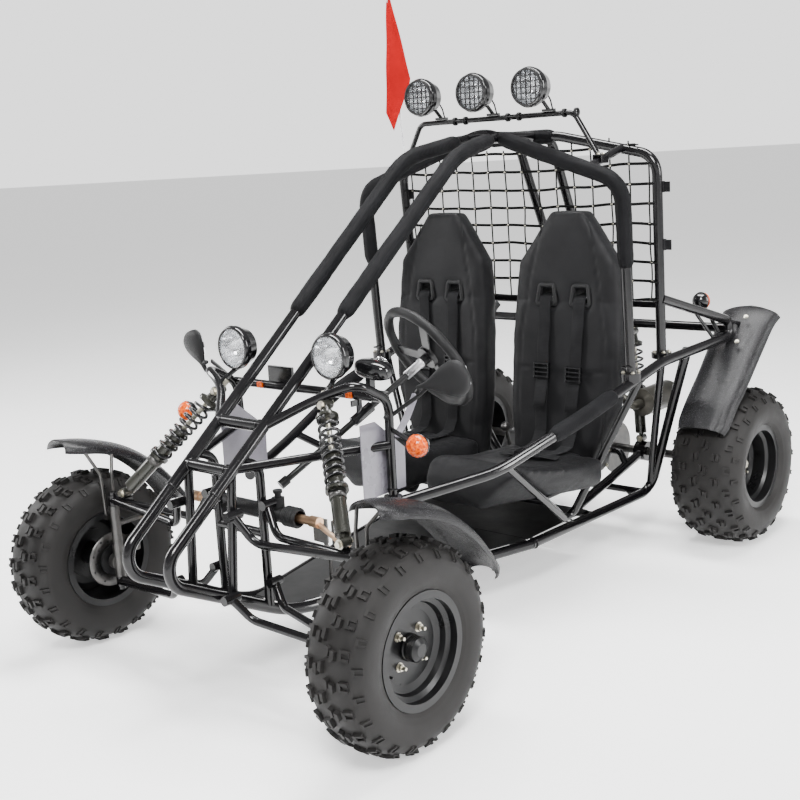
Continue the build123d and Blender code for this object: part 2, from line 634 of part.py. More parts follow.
cushion_face = make_face(Polyline(
    (-139, seat_base_z), (-150, 400), (-128, 445), (-92, 458), (-20, 440), (60, 425), (300, 408),
    (300, seat_base_z), close=True))
cushion = Plane(origin=(seat_x - seat_half_width, 0, 0), x_dir=(0, 1, 0), z_dir=(1, 0, 0)) * extrude(
    cushion_face, amount=2 * seat_half_width)
cushion = fillet(cushion.edges().filter_by(Axis.X), radius=10)
brace_run = Vector(*vee_foot) - Vector(*vee_front)
relief = Plane(origin=along(vee_front, vee_foot, 0.5), x_dir=brace_run, z_dir=brace_run.cross(Vector(1, 0, 1)))
cushion = trimmed(cushion, relief * Pos(0, 0, -brace_od / 2 - 4) * Box(
    1600, 1600, 400, align=(Align.CENTER, Align.CENTER, Align.MIN)))
cushion = trimmed(cushion, block((seat_x + 96, 266, 300), (seat_x + 300, 400, 500)))
sides("seat_cushion", cushion)
sides("seat_back", back_plane * seat_back)
for bracket_x in (seat_x - 120, seat_x + 76):
    bracket = plate([(292, 302), (396, 302), (410, 470), (393, 470), (380, 334.6), (301, 334.6), (301, 322),
                     (292, 322)], (bracket_x, 0, 0), (0, 1, 0), (1, 0, 0), 4)
    node("seat_frames", *both(coped(bracket, ["seat_bar_rear"])))


def back_front(z, gap):
    """The y of the seat back's front face at that height, less the gap."""
    return back_foot_y + (z - back_foot_z) * math.tan(lean) - back_thickness / math.cos(lean) - gap


strap_t = 2
strap_lift = strap_t / 2 + 0.6
shoulder = [(back_front(906, -90), 908), (back_front(903, strap_lift), 903), (back_front(450, strap_lift), 450),
            (296, 408 + strap_lift + 1.5), (160, 418 + strap_lift + 1)]
for sign in (1, -1):
    node("seat_belts", *both(strap(seat_x + sign * belt_u, shoulder, 44, strap_t)))
buckle = block((seat_x - 100, 112, 421.4), (seat_x + 100, 158, 435.4), 4)
node("seat_belts", *both(buckle))

# Instrument pod, switch panel and pedals
pod = block((222, dash_end[1] - 22, dash_end[2] + 44), (298, dash_end[1] + 42, dash_end[2] + 106), 14)
pod_leg = coped(block((236, dash_end[1] - 10, dash_end[2] + 4), (252, dash_end[1] + 10, dash_end[2] + 44)),
                ["dash_bar"])
panel = coped(block((-150, dash_end[1] - 4, dash_end[2] + 2), (-50, dash_end[1] + 4, dash_end[2] + 58)),
              ["dash_bar"])
node("dash", pod, trimmed(pod_leg, pod), panel)
panel_x = arch_foot[0] - brace_od / 2 - clearance - 3
side_panel = plate([(-98, 486), (70, 486), (74, 596), (-40, 690), (-98, 690)], (panel_x, arch_foot[1], 0),
                   (0, 1, 0), (1, 0, 0), 3)
node("side_panels", *both(coped(coped(side_panel, ["arch", "low_rail"]), ["dash_bar"])))
arch_flange = rod(shifted(arch_foot, dz=-2), shifted(arch_foot, dz=6), 50)
node("frame_front", *both(coped(arch_flange, ["arch", "side_rail"])))
pedal_y = -560
pedal_z = pan_seam_z + pan_t + (pan_front_z - pan_seam_z) * (floor_seam[1] - pedal_y) / -slope.Y + 0.4
for pedal_x in (44, 116):
    lever = tube([(pedal_x, pedal_y, pedal_z + 1), (pedal_x, pedal_y, pedal_z + 90),
                  (pedal_x, pedal_y - 26, pedal_z + 150)], small_od, 20)
    foot_pad = block((pedal_x - 26, pedal_y - 34, pedal_z + 130), (pedal_x + 26, pedal_y - 26, pedal_z + 200))
    foot = block((pedal_x - 16, pedal_y - 14, pedal_z), (pedal_x + 16, pedal_y + 14, pedal_z + 10))
    node("controls", lever + foot_pad + foot)
lever_foot = (0, mid_bar_y + 13, floor_z + brace_od / 2 + clearance)
knob_at = (0, 364, 446)
shift_lever = block(shifted(lever_foot, -16, -12), shifted(lever_foot, 16, 12, 30)) + rod(
    shifted(lever_foot, dz=20), knob_at, small_od)
shift_knob = Pos(*knob_at) * Sphere(17)
node("controls", trimmed(shift_lever, shift_knob), shift_knob)

# Lamps
lamp_front = (188, front_axle_y + 244, 868)
lens_t = 4


def lamp_bowl(radius, depth):
    """The outline of a lamp's bowl with its hollow reflector, its mouth at height 0."""
    wall = 3
    outer = [(0, radius - 4), (-8, radius), (-depth * 0.25, radius), (-depth * 0.68, radius * 0.8),
             (-depth * 0.95, radius * 0.42), (-depth, 0)]
    inner = [(6 * wall - depth, 0), (4 * wall - depth * 0.9, radius * 0.36), (-depth * 0.5, radius * 0.74),
             (-lens_t - clearance, radius - 8), (0, radius - 8)]
    return outer + inner


def lamp_lens(radius):
    """A slightly domed lens that sits in the mouth of the bowl."""
    rim_r = radius - 8 - clearance
    return [(-lens_t, 0), (-lens_t, rim_r), (0, rim_r), (3, rim_r * 0.6), (5, 0)]


headlight = turned(lamp_bowl(62, 76), lamp_front, (0, -1, 0))
node("headlights", *both(headlight))
node("lamp_lenses", *both(turned(lamp_lens(62), lamp_front, (0, -1, 0))))
lamp_leg = trimmed(coped(rod((205, arch_top[1] - 30, 775), (192, lamp_front[1] + 24, 812), 14), ["arch"]),
                   headlight)
node("headlights", *both(lamp_leg))

# Roof light bar with three grilled lamps
bar_od = 17
bar_base = (395, 374, 1332)
bar_corner = (308, 366, 1477)
bar_y = bar_corner[1]
light_bar = tube([bar_base, bar_corner, flip(bar_corner), flip(bar_base)], bar_od, 40)
node("light_bar", coped(light_bar, ["roof_side"]))
lamp_depth = 84
lamp_r = 60
bars = (-36, -18, 0, 18, 36)
for lamp_x in (-216, 0, 216):
    lamp_at = (lamp_x, bar_y - 30, bar_corner[2] + 82)
    lamp_mouth = shifted(lamp_at, dy=-lamp_depth)
    bowl = turned(lamp_bowl(lamp_r, lamp_depth), lamp_mouth, (0, -1, 0))
    node("lamp_lenses", turned(lamp_lens(lamp_r), lamp_mouth, (0, -1, 0)))
    yoke = trimmed(rod((lamp_x, bar_y, bar_corner[2] + bar_od / 2 + 5),
                       (lamp_x, bar_y - 66, bar_corner[2] + 70), 12), bowl)
    pad = block((lamp_x - 20, bar_y - 10, bar_corner[2] + bar_od / 2 + clearance),
                (lamp_x + 20, bar_y + 10, bar_corner[2] + bar_od / 2 + 8))
    node("roof_lamps", bowl + yoke + pad)
    front = Plane(origin=shifted(lamp_mouth, dy=-clearance), x_dir=(1, 0, 0), z_dir=(0, -1, 0))
    grille = Cylinder(lamp_r - 4, 9, align=(Align.CENTER, Align.CENTER, Align.MIN)) - Cylinder(lamp_r - 9, 30)
    for offset in bars:
        chord = 2 * math.sqrt((lamp_r - 7) ** 2 - offset ** 2)
        grille = grille + Pos(0, offset, 7.5) * Box(chord, 3, 3)
        grille = grille + Pos(offset, 0, 7.5) * Box(3, chord, 3)
    node("lamp_grilles", front * grille)

# Turn signals and mirrors
signal_front = (455, front_axle_y + 278, 654)
signal_rear = (497, rear_axle_y - 64, 838)
signal_stems = [
    coped(rod((300, arch_foot[1] + 2, 662), signal_front, 13), ["arch"]),
    coped(rod((558, rear_axle_y - 62, 735), signal_rear, 13), ["side_rail"]),
]
for place, stem in zip((signal_front, signal_rear), signal_stems):
    ball = Pos(*place) * Sphere(31)
    node("mirror_and_signal_arms", *both(trimmed(stem, ball)))
    node("turn_signals", *both(ball))
mirror_at = (488, front_axle_y + 362, 819)
mirror_head = block(shifted(mirror_at, -58, -14, -40), shifted(mirror_at, 58, 14, 40), 13)
mirror_arm = tube([(300, arch_foot[1] + 2, 700), (372, arch_foot[1] + 26, 752), shifted(mirror_at, dx=-20)],
                  small_od, 60)
node("mirrors", *both(mirror_head))
node("mirror_and_signal_arms", *both(trimmed(coped(mirror_arm, ["arch"]), mirror_head)))

# Whip with its clip and pennant
whip_foot = (-cage_half_width + 6, cage_rear_y + 29, 1180)
whip_top = (-cage_half_width - 42, cage_rear_y + 8, 2010)
whip = rod(whip_foot, whip_top, 7)
clip = block(shifted(whip_foot, -12, -22, -6), shifted(whip_foot, 12, 12, 34))
node("flag_whip", coped(whip, ["back_hoop"]))
node("flag_whip", trimmed(coped(clip, ["back_hoop"]), rod(whip_foot, whip_top, 7.2)))
flag_y = whip_top[1] + 1
pennant = plate([(-552, 1992), (-462, 1640), (-556, 1462), (-588, 1530)], (0, flag_y + 12, 0), (1, 0, 0),
                (0, -1, 0), 1.5)
node("pennant", trimmed(pennant, rod(whip_foot, whip_top, 7.2)))

# Cargo net inside the rear hoop
net_pitch_x = 69
net_pitch_z = 61
net_low = 880
net_top = (0, cage_rear_y + 6, 1410)
net_foot = (0, cage_rear_y + 22, 860)
net_axis = Vector(*net_top) - Vector(*net_foot)
net_plane = Plane(origin=net_foot, x_dir=(1, 0, 0), z_dir=Vector(1, 0, 0).cross(net_axis))
net = None
for i in range(-7, 8):
    cord = Pos(i * net_pitch_x, 290, 0) * Box(9, 580, 3)
    net = cord if net is None else net + cord
for i in range(9):
    net = net + Pos(0, 20 + i * net_pitch_z, 0) * Box(1040, 9, 3)
net = coped(net_plane * net, ["back_hoop"])
net = coped(net, ["net_bar", "roof_bar", "stay"])
net = trimmed(net, tube(top_pad, pad_od + 1))
node("cargo_net", net)

# Rear axle with hubs, sprocket and brake disc
axle_centre = (0, rear_axle_y, rear_axle_z)
rear_face_x = rear_wheel_x + rear_face_out
axle_half = [
    (0, axle_d / 2), (rear_face_x - 50, axle_d / 2), (rear_face_x - 50, 30),
    (rear_face_x - rim_wall - clearance - 8, 30), (rear_face_x - rim_wall - clearance - 8, 72),
    (rear_face_x - rim_wall - clearance, 72), (rear_face_x - rim_wall - clearance, spigot_r),
    (rear_face_x + 8, spigot_r), (rear_face_x + 8, 18), (rear_face_x + 26, 14), (rear_face_x + 26, 0)]
axle_profile = [(-h, r) for h, r in reversed(axle_half)] + axle_half[1:]
axle = turned(axle_profile, axle_centre)
chain_x = -125
sprocket_r = 105
pinion_r = 32
sprocket_t = 6
sprocket_teeth = 40
tooth_points = [(0.3, sprocket_r - 8), (0.5, sprocket_r), (0.7, sprocket_r), (0.9, sprocket_r - 8)]


def toothed(teeth, profile):
    """An outline in which each tooth repeats the (share of the pitch, radius) profile."""
    angles = [((i + share) * 2 * math.pi / teeth, radius) for i in range(teeth) for share, radius in profile]
    return Polyline(*[(radius * math.cos(a), radius * math.sin(a)) for a, radius in angles], close=True)


sprocket = extrude(make_face(toothed(sprocket_teeth, tooth_points)), amount=sprocket_t)
for i in range(5):
    sprocket = sprocket - Rot(0, 0, 72 * i) * Pos(62, 0, 0) * Cylinder(17, 40)
sprocket = Plane(origin=shifted(axle_centre, dx=chain_x - sprocket_t / 2), x_dir=(0, 1, 0),
                 z_dir=(1, 0, 0)) * sprocket
disc_rear_x = 120
rear_disc = turned([(-2, axle_d / 2), (2, axle_d / 2), (2, 95), (-2, 95)], shifted(axle_centre, dx=disc_rear_x))
carriers = rod(shifted(axle_centre, dx=chain_x + 3), shifted(axle_centre, dx=chain_x + 20), 56) + rod(
    shifted(axle_centre, dx=disc_rear_x - 20), shifted(axle_centre, dx=disc_rear_x - 2), 56)
node("rear_axle", axle + carriers + sprocket + rear_disc)

# Swing arm, its cross tube and the rear coil-overs
swing_x = 230
swing_pivot = (swing_x, 454, floor_z + 16)
swing = None
for sign in (1, -1):
    pivot = (sign * swing_x, swing_pivot[1], swing_pivot[2])
    carrier = (sign * swing_x, rear_axle_y, rear_axle_z)
    pieces = [tube([pivot, carrier], main_od), rod(shifted(pivot, dx=-30), shifted(pivot, dx=30), main_od),
              rod(shifted(carrier, dx=-22), shifted(carrier, dx=22), 72)]
    for piece in pieces:
        swing = piece if swing is None else swing + piece
cross_y = rear_axle_y - 124
cross_z = 292
swing = swing + tube([(swing_x, cross_y, 246), (swing_x - 24, cross_y, cross_z), (24 - swing_x, cross_y, cross_z),
                      (-swing_x, cross_y, 246)], brace_od, 20)
swing = swing - rod((-300, rear_axle_y, rear_axle_z), (300, rear_axle_y, rear_axle_z), axle_d + 2 * shaft_play)
swing = coped(swing, ["mid_bar"])
rear_foot = (swing_x, rear_axle_y - 10, rear_axle_z + 36 + eye_od / 2 + clearance)
rear_top = (196, rear_axle_y + 3, rear_bar_end[2] - main_od / 2 - eye_od / 2 - clearance)
rear_damper, rear_spring = coil_over(rear_foot, rear_top, 130)
node("swing_arm", swing)
node("dampers", *both(trimmed(rear_damper, swing)))
node("springs", *both(rear_spring))
rear_caliper = block((disc_rear_x - 16, cross_y + brace_od / 2 + clearance, 250),
                     (disc_rear_x + 16, rear_axle_y - 62, 296), 5)
rear_caliper = rear_caliper - turned([(-5, 0), (5, 0), (5, 98), (-5, 98)], shifted(axle_centre, dx=disc_rear_x))
node("swing_arm", trimmed(rear_caliper, swing))

# Engine on its cradle, with drive cover, air box, exhaust and chain
cradle_z = floor_z + brace_od / 2 + brace_od / 2 + clearance
for x in (-80, 90):
    node("frame_floor", tube([(x, mid_bar_y + 1, cradle_z), (x, 764, cradle_z)], brace_od))
engine_low = cradle_z + brace_od / 2 + clearance
crankcase = block((-95, 500, engine_low), (115, 735, 400), 16)
engine = crankcase
cylinder = block((-48, 565, 390), (68, 675, 520))
engine = engine + cylinder
for i in range(6):
    fin_z = 408 + 17 * i
    engine = engine + block((-62, 551, fin_z), (82, 689, fin_z + 5))
node("engine", engine)
cover = rod((115 + clearance, 540, 300), (180, 540, 300), 150) + rod((115 + clearance, 685, 300), (180, 685, 300), 124)
cover = cover + block((115 + clearance, 540, 240), (180, 685, 360))
node("engine", trimmed(cover, crankcase))
pinion_at = (chain_x, 690, 300)
output = rod((-95 - clearance, 690, 300), (chain_x - 14, 690, 300), 22) + rod(
    shifted(pinion_at, dx=-3), shifted(pinion_at, dx=3), 2 * pinion_r)
node("chain_drive", output)
chain_gap = 1
chain_t = 9
chain_w = 12


def belt_outline(extra):
    """The outline around both sprockets, in (y, z), that far outside their rims."""
    small = pinion_r + chain_gap + extra
    big = sprocket_r + chain_gap + extra
    span = Vector(axle_centre[1] - pinion_at[1], axle_centre[2] - pinion_at[2])
    tilt = math.atan2(span.Y, span.X)
    spread = math.acos((small - big) / span.length)
    ends = []
    for sign in (1, -1):
        angle = tilt + sign * spread
        for centre, radius in ((pinion_at, small), (axle_centre, big)):
            ends.append((centre[1] + radius * math.cos(angle), centre[2] + radius * math.sin(angle)))
    small_top, big_top, small_low, big_low = ends
    nose = (pinion_at[1] - small * math.cos(tilt), pinion_at[2] - small * math.sin(tilt))
    tail = (axle_centre[1] + big * math.cos(tilt), axle_centre[2] + big * math.sin(tilt))
    return make_face(Line(small_top, big_top) + ThreePointArc(big_top, tail, big_low)
                     + Line(big_low, small_low) + ThreePointArc(small_low, nose, small_top))


chain_plane = Plane(origin=(chain_x - chain_w / 2, 0, 0), x_dir=(0, 1, 0), z_dir=(1, 0, 0))
chain = extrude(belt_outline(chain_t), amount=chain_w) - extrude(belt_outline(0), amount=chain_w)
node("chain_drive", chain_plane * chain)

air_box = block((126, 560, 380), (232, 690, 470), 14)
intake = rod((82 + clearance, 620, 440), (126, 620, 440), 40)
node("engine", trimmed(air_box, cover), trimmed(intake, air_box, engine))
muffler_axis = (300, 0, 480)
muffler_from = rear_axle_y - 140
muffler = turned([(0, 0), (0, 22), (14, 48), (200, 48), (214, 30), (214, 14), (240, 14), (240, 0)],
                 (muffler_axis[0], muffler_from, muffler_axis[2]), (0, 1, 0))
pipe = tube([(10, 689 + clearance, 500), (10, 730, 500), (190, 730, 540), (muffler_axis[0], 700, 480),
             (muffler_axis[0], muffler_from - clearance, 480)], 32, [24, 60, 20])
hanger_rod = rod((muffler_axis[0], rear_axle_y + 3, rear_bar_end[2] - main_od / 2 - clearance),
                 (muffler_axis[0], rear_axle_y + 3, 500), small_od)
node("exhaust", muffler, pipe)
node("rear_brackets", trimmed(hanger_rod, muffler))

for name in sorted(parts):
    shape = Compound(parts[name])
    export_step(shape, f"parts/{name}.step")
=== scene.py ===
import math
import random

import bmesh
import bpy
from mathutils import Matrix, Vector, noise


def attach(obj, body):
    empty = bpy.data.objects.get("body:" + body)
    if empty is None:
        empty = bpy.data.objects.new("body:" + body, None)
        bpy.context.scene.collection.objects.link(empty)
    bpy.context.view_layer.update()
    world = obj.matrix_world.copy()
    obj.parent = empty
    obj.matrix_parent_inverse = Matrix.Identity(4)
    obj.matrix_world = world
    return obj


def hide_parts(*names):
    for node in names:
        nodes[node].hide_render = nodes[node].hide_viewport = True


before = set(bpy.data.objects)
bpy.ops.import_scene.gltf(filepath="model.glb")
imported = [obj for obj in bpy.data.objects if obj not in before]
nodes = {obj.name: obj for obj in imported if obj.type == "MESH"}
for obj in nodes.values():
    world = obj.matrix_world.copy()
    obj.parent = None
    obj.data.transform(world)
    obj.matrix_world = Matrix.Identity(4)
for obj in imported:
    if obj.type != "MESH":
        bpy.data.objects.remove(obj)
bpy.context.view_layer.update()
random.seed(7)


# Materials
def tree(name):
    m = bpy.data.materials.new(name)
    m.use_nodes = True
    nt = m.node_tree
    return m, nt, nt.nodes["Principled BSDF"]


def coords(nt):
    return nt.nodes.new("ShaderNodeTexCoord").outputs["Object"]


def noise_tex(nt, vec, scale, detail=4, rough=0.6):
    n = nt.nodes.new("ShaderNodeTexNoise")
    n.inputs["Scale"].default_value = scale
    n.inputs["Detail"].default_value = detail
    n.inputs["Roughness"].default_value = rough
    nt.links.new(vec, n.inputs["Vector"])
    return n.outputs["Fac"]


def ramp(nt, fac, stops):
    r = nt.nodes.new("ShaderNodeValToRGB")
    els = r.color_ramp.elements
    while len(els) < len(stops):
        els.new(0.5)
    for e, (pos, col) in zip(els, stops):
        e.position = pos
        e.color = (*col, 1)
    nt.links.new(fac, r.inputs["Fac"])
    return r.outputs["Color"]


def ranged(nt, fac, lo, hi, flo=0.0, fhi=1.0):
    r = nt.nodes.new("ShaderNodeMapRange")
    r.inputs["From Min"].default_value = flo
    r.inputs["From Max"].default_value = fhi
    r.inputs["To Min"].default_value = lo
    r.inputs["To Max"].default_value = hi
    nt.links.new(fac, r.inputs["Value"])
    return r.outputs["Result"]


def mixed(nt, fac, a, colour):
    m = nt.nodes.new("ShaderNodeMix")
    m.data_type = "RGBA"
    nt.links.new(fac, m.inputs["Factor"])
    nt.links.new(a, m.inputs[6])
    m.inputs[7].default_value = (*colour, 1)
    return m.outputs[2]


def math_node(nt, op, a, b):
    n = nt.nodes.new("ShaderNodeMath")
    n.operation = op
    for i, v in enumerate((a, b)):
        if isinstance(v, (int, float)):
            n.inputs[i].default_value = v
        else:
            nt.links.new(v, n.inputs[i])
    return n.outputs[0]


def bumped(nt, bsdf, height, strength=0.3, distance=0.001):
    b = nt.nodes.new("ShaderNodeBump")
    b.inputs["Strength"].default_value = strength
    b.inputs["Distance"].default_value = distance
    nt.links.new(height, b.inputs["Height"])
    nt.links.new(b.outputs["Normal"], bsdf.inputs["Normal"])


def surface(name, dark, light, rough, metal=0.0, grain=400, bump=0.1, patch=9, coat=0.0, spec=0.5):
    """Two tones mixed by soft patches, a fine grain in the bump and a roughness that varies."""
    m, nt, b = tree(name)
    vec = coords(nt)
    big = noise_tex(nt, vec, patch, 5)
    fine = noise_tex(nt, vec, grain, 3)
    both = math_node(nt, "ADD", math_node(nt, "MULTIPLY", big, 0.75), math_node(nt, "MULTIPLY", fine, 0.25))
    col = ramp(nt, both, [(0.32, dark), (0.68, light)])
    nt.links.new(col, b.inputs["Base Color"])
    nt.links.new(ranged(nt, big, rough[0], rough[1], 0.3, 0.7), b.inputs["Roughness"])
    b.inputs["Metallic"].default_value = metal
    b.inputs["Specular IOR Level"].default_value = spec
    b.inputs["Coat Weight"].default_value = coat
    b.inputs["Coat Roughness"].default_value = 0.12
    bumped(nt, b, fine, bump, 0.0006)
    return m


def leather(name, dark, light, scale=420, strength=0.35):
    """A pebbled cover: small cells under soft creases."""
    m, nt, b = tree(name)
    vec = coords(nt)
    v = nt.nodes.new("ShaderNodeTexVoronoi")
    v.feature = "DISTANCE_TO_EDGE"
    v.inputs["Scale"].default_value = scale
    nt.links.new(vec, v.inputs["Vector"])
    cells = ranged(nt, v.outputs["Distance"], 0, 1, 0.0, 0.16)
    big = noise_tex(nt, vec, 7, 5)
    crease = noise_tex(nt, vec, 38, 6, 0.7)
    nt.links.new(ramp(nt, big, [(0.3, dark), (0.72, light)]), b.inputs["Base Color"])
    nt.links.new(ranged(nt, crease, 0.42, 0.58, 0.3, 0.7), b.inputs["Roughness"])
    b.inputs["Specular IOR Level"].default_value = 0.13
    b.inputs["Sheen Weight"].default_value = 0.01
    b.inputs["Sheen Roughness"].default_value = 0.4
    h = math_node(nt, "ADD", math_node(nt, "MULTIPLY", cells, 0.35), math_node(nt, "MULTIPLY", crease, 1.0))
    bumped(nt, b, h, strength, 0.0012)
    return m


def woven(name, dark, light, pitch=0.0016, rough=0.85):
    """Two crossed sets of ribs, as in webbing and sleeve cloth."""
    m, nt, b = tree(name)
    vec = coords(nt)
    waves = []
    for direction in ("X", "Z"):
        w = nt.nodes.new("ShaderNodeTexWave")
        w.bands_direction = direction
        w.inputs["Scale"].default_value = 0.314 / pitch / 2
        w.inputs["Distortion"].default_value = 0.6
        nt.links.new(vec, w.inputs["Vector"])
        waves.append(w.outputs["Fac"])
    h = math_node(nt, "MULTIPLY", waves[0], waves[1])
    big = noise_tex(nt, vec, 14, 5)
    both = math_node(nt, "ADD", math_node(nt, "MULTIPLY", h, 0.3), math_node(nt, "MULTIPLY", big, 0.7))
    col = ramp(nt, both, [(0.3, dark), (0.7, light)])
    nt.links.new(col, b.inputs["Base Color"])
    b.inputs["Roughness"].default_value = rough
    b.inputs["Sheen Weight"].default_value = 0.01
    b.inputs["Specular IOR Level"].default_value = 0.07
    bumped(nt, b, h, 0.4, 0.0008)
    return m


def speckled(name, dark, light, dust_and_glint, scale=900, share=0.62, rough=(0.35, 0.55)):
    """Moulded plastic whose fine raised texture catches the light; the pale speckles mixed into its colour
    are dust, and painted glints of that texture.
    """
    m, nt, b = tree(name)
    vec = coords(nt)
    v = nt.nodes.new("ShaderNodeTexVoronoi")
    v.inputs["Scale"].default_value = scale
    nt.links.new(vec, v.inputs["Vector"])
    big = noise_tex(nt, vec, 6, 4)
    fine = noise_tex(nt, vec, scale * 0.8, 2)
    base = ramp(nt, big, [(0.3, dark), (0.7, light)])
    # pale speckles in the colour: dust, and painted glints where the raised texture would catch the light
    nt.links.new(mixed(nt, ranged(nt, fine, 0, 1, share, share + 0.12), base, dust_and_glint), b.inputs["Base Color"])
    nt.links.new(ranged(nt, big, rough[0], rough[1], 0.3, 0.7), b.inputs["Roughness"])
    b.inputs["Specular IOR Level"].default_value = 0.2
    bumped(nt, b, v.outputs["Distance"], 0.35, 0.001)
    return m


def glass(name, colour, rough=0.05, alpha=0.35):
    m, nt, b = tree(name)
    vec = coords(nt)
    b.inputs["Base Color"].default_value = (*colour, 1)
    nt.links.new(ranged(nt, noise_tex(nt, vec, 30, 3), rough, rough + 0.06), b.inputs["Roughness"])
    b.inputs["Transmission Weight"].default_value = 0.9
    b.inputs["IOR"].default_value = 1.45
    b.inputs["Alpha"].default_value = alpha
    return m


PAINT = surface("frame_paint", (0.0022, 0.0021, 0.0024), (0.0052, 0.0048, 0.0056), (0.12, 0.22),
                grain=900, bump=0.03, patch=5, coat=0.1, spec=0.32)
SATIN = surface("satin_black", (0.003, 0.003, 0.0032), (0.007, 0.007, 0.0075), (0.26, 0.4),
                grain=700, bump=0.08, patch=12, spec=0.28)
RUBBER = surface("tyre_rubber", (0.0062, 0.0058, 0.0056), (0.0135, 0.0125, 0.012), (0.5, 0.72),
                 grain=520, bump=0.25, patch=11, spec=0.22)
SOFT = surface("soft_rubber", (0.004, 0.004, 0.0042), (0.009, 0.009, 0.0095), (0.45, 0.6),
               grain=650, bump=0.3, patch=14, spec=0.22)
PLATE = surface("floor_paint", (0.004, 0.004, 0.0042), (0.011, 0.011, 0.0112), (0.3, 0.5),
                grain=240, bump=0.25, patch=7, spec=0.25)
GLOSS = surface("gloss_plastic", (0.0025, 0.0025, 0.003), (0.006, 0.006, 0.0065), (0.08, 0.2),
                grain=600, bump=0.03, patch=10, coat=0.3, spec=0.4)
PALE = surface("pale_panel", (0.13, 0.124, 0.145), (0.2, 0.19, 0.22), (0.25, 0.4),
               grain=300, bump=0.08, patch=9, coat=0.3)
WHITE = surface("white_rod", (0.55, 0.55, 0.56), (0.7, 0.7, 0.71), (0.2, 0.32),
                grain=500, bump=0.05, patch=30)
# Metals: dark tone, light tone, roughness, metallic, grain, bump, patch, coat
STEEL = surface("bright_steel", (0.33, 0.33, 0.34), (0.55, 0.55, 0.56), (0.25, 0.42), 1.0, 500, 0.1, 20)
DARK_STEEL = surface("dark_steel", (0.05, 0.05, 0.05), (0.13, 0.125, 0.12), (0.35, 0.5), 1.0, 500, 0.15, 16)
ZINC = surface("zinc_plate", (0.38, 0.36, 0.3), (0.6, 0.57, 0.48), (0.26, 0.4), 1.0, 500, 0.1, 30)
COPPER = surface("yellow_zinc", (0.55, 0.34, 0.2), (0.78, 0.55, 0.38), (0.28, 0.42), 1.0, 400, 0.08, 14)
OLIVE = surface("damper_tube", (0.014, 0.014, 0.011), (0.032, 0.032, 0.026), (0.2, 0.34), 0.4, 500, 0.08,
                12, 0.3)
CAST = surface("cast_alloy", (0.07, 0.07, 0.07), (0.16, 0.16, 0.16), (0.4, 0.6), 1.0, 260, 0.5, 12)
CHROME = surface("chrome", (0.7, 0.7, 0.71), (0.8, 0.8, 0.81), (0.05, 0.1), 1.0, 300, 0.02, 20)
MUFFLER = surface("muffler_skin", (0.022, 0.021, 0.018), (0.06, 0.056, 0.045), (0.3, 0.5), 0.7, 300, 0.15, 18)
REFLECT = surface("reflector", (0.72, 0.73, 0.75), (0.85, 0.86, 0.88), (0.06, 0.16), 1.0, 200, 0.05, 60)
MIRROR = surface("mirror_glass", (0.75, 0.76, 0.78), (0.8, 0.81, 0.83), (0.02, 0.04), 1.0, 300, 0.01, 20)
CHAIN = surface("chain_steel", (0.12, 0.11, 0.1), (0.28, 0.27, 0.25), (0.35, 0.5), 1.0, 500, 0.1, 40)
LEATHER = leather("seat_cover", (0.0045, 0.0045, 0.005), (0.009, 0.009, 0.0098))
PIPING = leather("seat_piping", (0.004, 0.004, 0.0045), (0.009, 0.009, 0.0095), 900, 0.2)
WEB = woven("belt_webbing", (0.006, 0.006, 0.0065), (0.016, 0.016, 0.017), 0.0022, 0.7)
NETTING = woven("net_webbing", (0.003, 0.003, 0.003), (0.008, 0.008, 0.008), 0.0018)
SLEEVE = woven("sleeve_cloth", (0.0035, 0.0035, 0.004), (0.0095, 0.0095, 0.0105), 0.0014, 0.66)
RED = woven("flag_cloth", (0.26, 0.0, 0.001), (0.38, 0.0005, 0.002), 0.0016, 0.75)
FENDER = speckled("fender_plastic", (0.0055, 0.0055, 0.006), (0.011, 0.011, 0.0115), (0.07, 0.068, 0.073),
                  620, 0.57, (0.2, 0.3))
HARD = speckled("black_plastic", (0.0045, 0.0045, 0.005), (0.0095, 0.0095, 0.01), (0.03, 0.03, 0.03), 1400)


def amber(name):
    """Moulded amber: bright ribs over a deep orange, under a hard gloss."""
    m, nt, b = tree(name)
    vec = coords(nt)
    cells = nt.nodes.new("ShaderNodeTexVoronoi")
    cells.inputs["Scale"].default_value = 140
    nt.links.new(vec, cells.inputs["Vector"])
    mix = math_node(nt, "ADD", math_node(nt, "MULTIPLY", cells.outputs["Distance"], 0.7),
                    math_node(nt, "MULTIPLY", noise_tex(nt, vec, 60, 4), 0.5))
    tones = ramp(nt, mix, [(0.3, (0.3, 0.022, 0.0)), (0.6, (0.55, 0.062, 0.0)), (0.85, (0.8, 0.13, 0.0))])
    nt.links.new(tones, b.inputs["Base Color"])
    nt.links.new(ranged(nt, mix, 0.08, 0.2), b.inputs["Roughness"])
    b.inputs["Specular IOR Level"].default_value = 0.3
    bumped(nt, b, mix, 0.4, 0.001)
    return m


AMBER = amber("amber_lens")
CLEAR = glass("lamp_glass", (0.93, 0.95, 0.96), 0.02, 0.3)

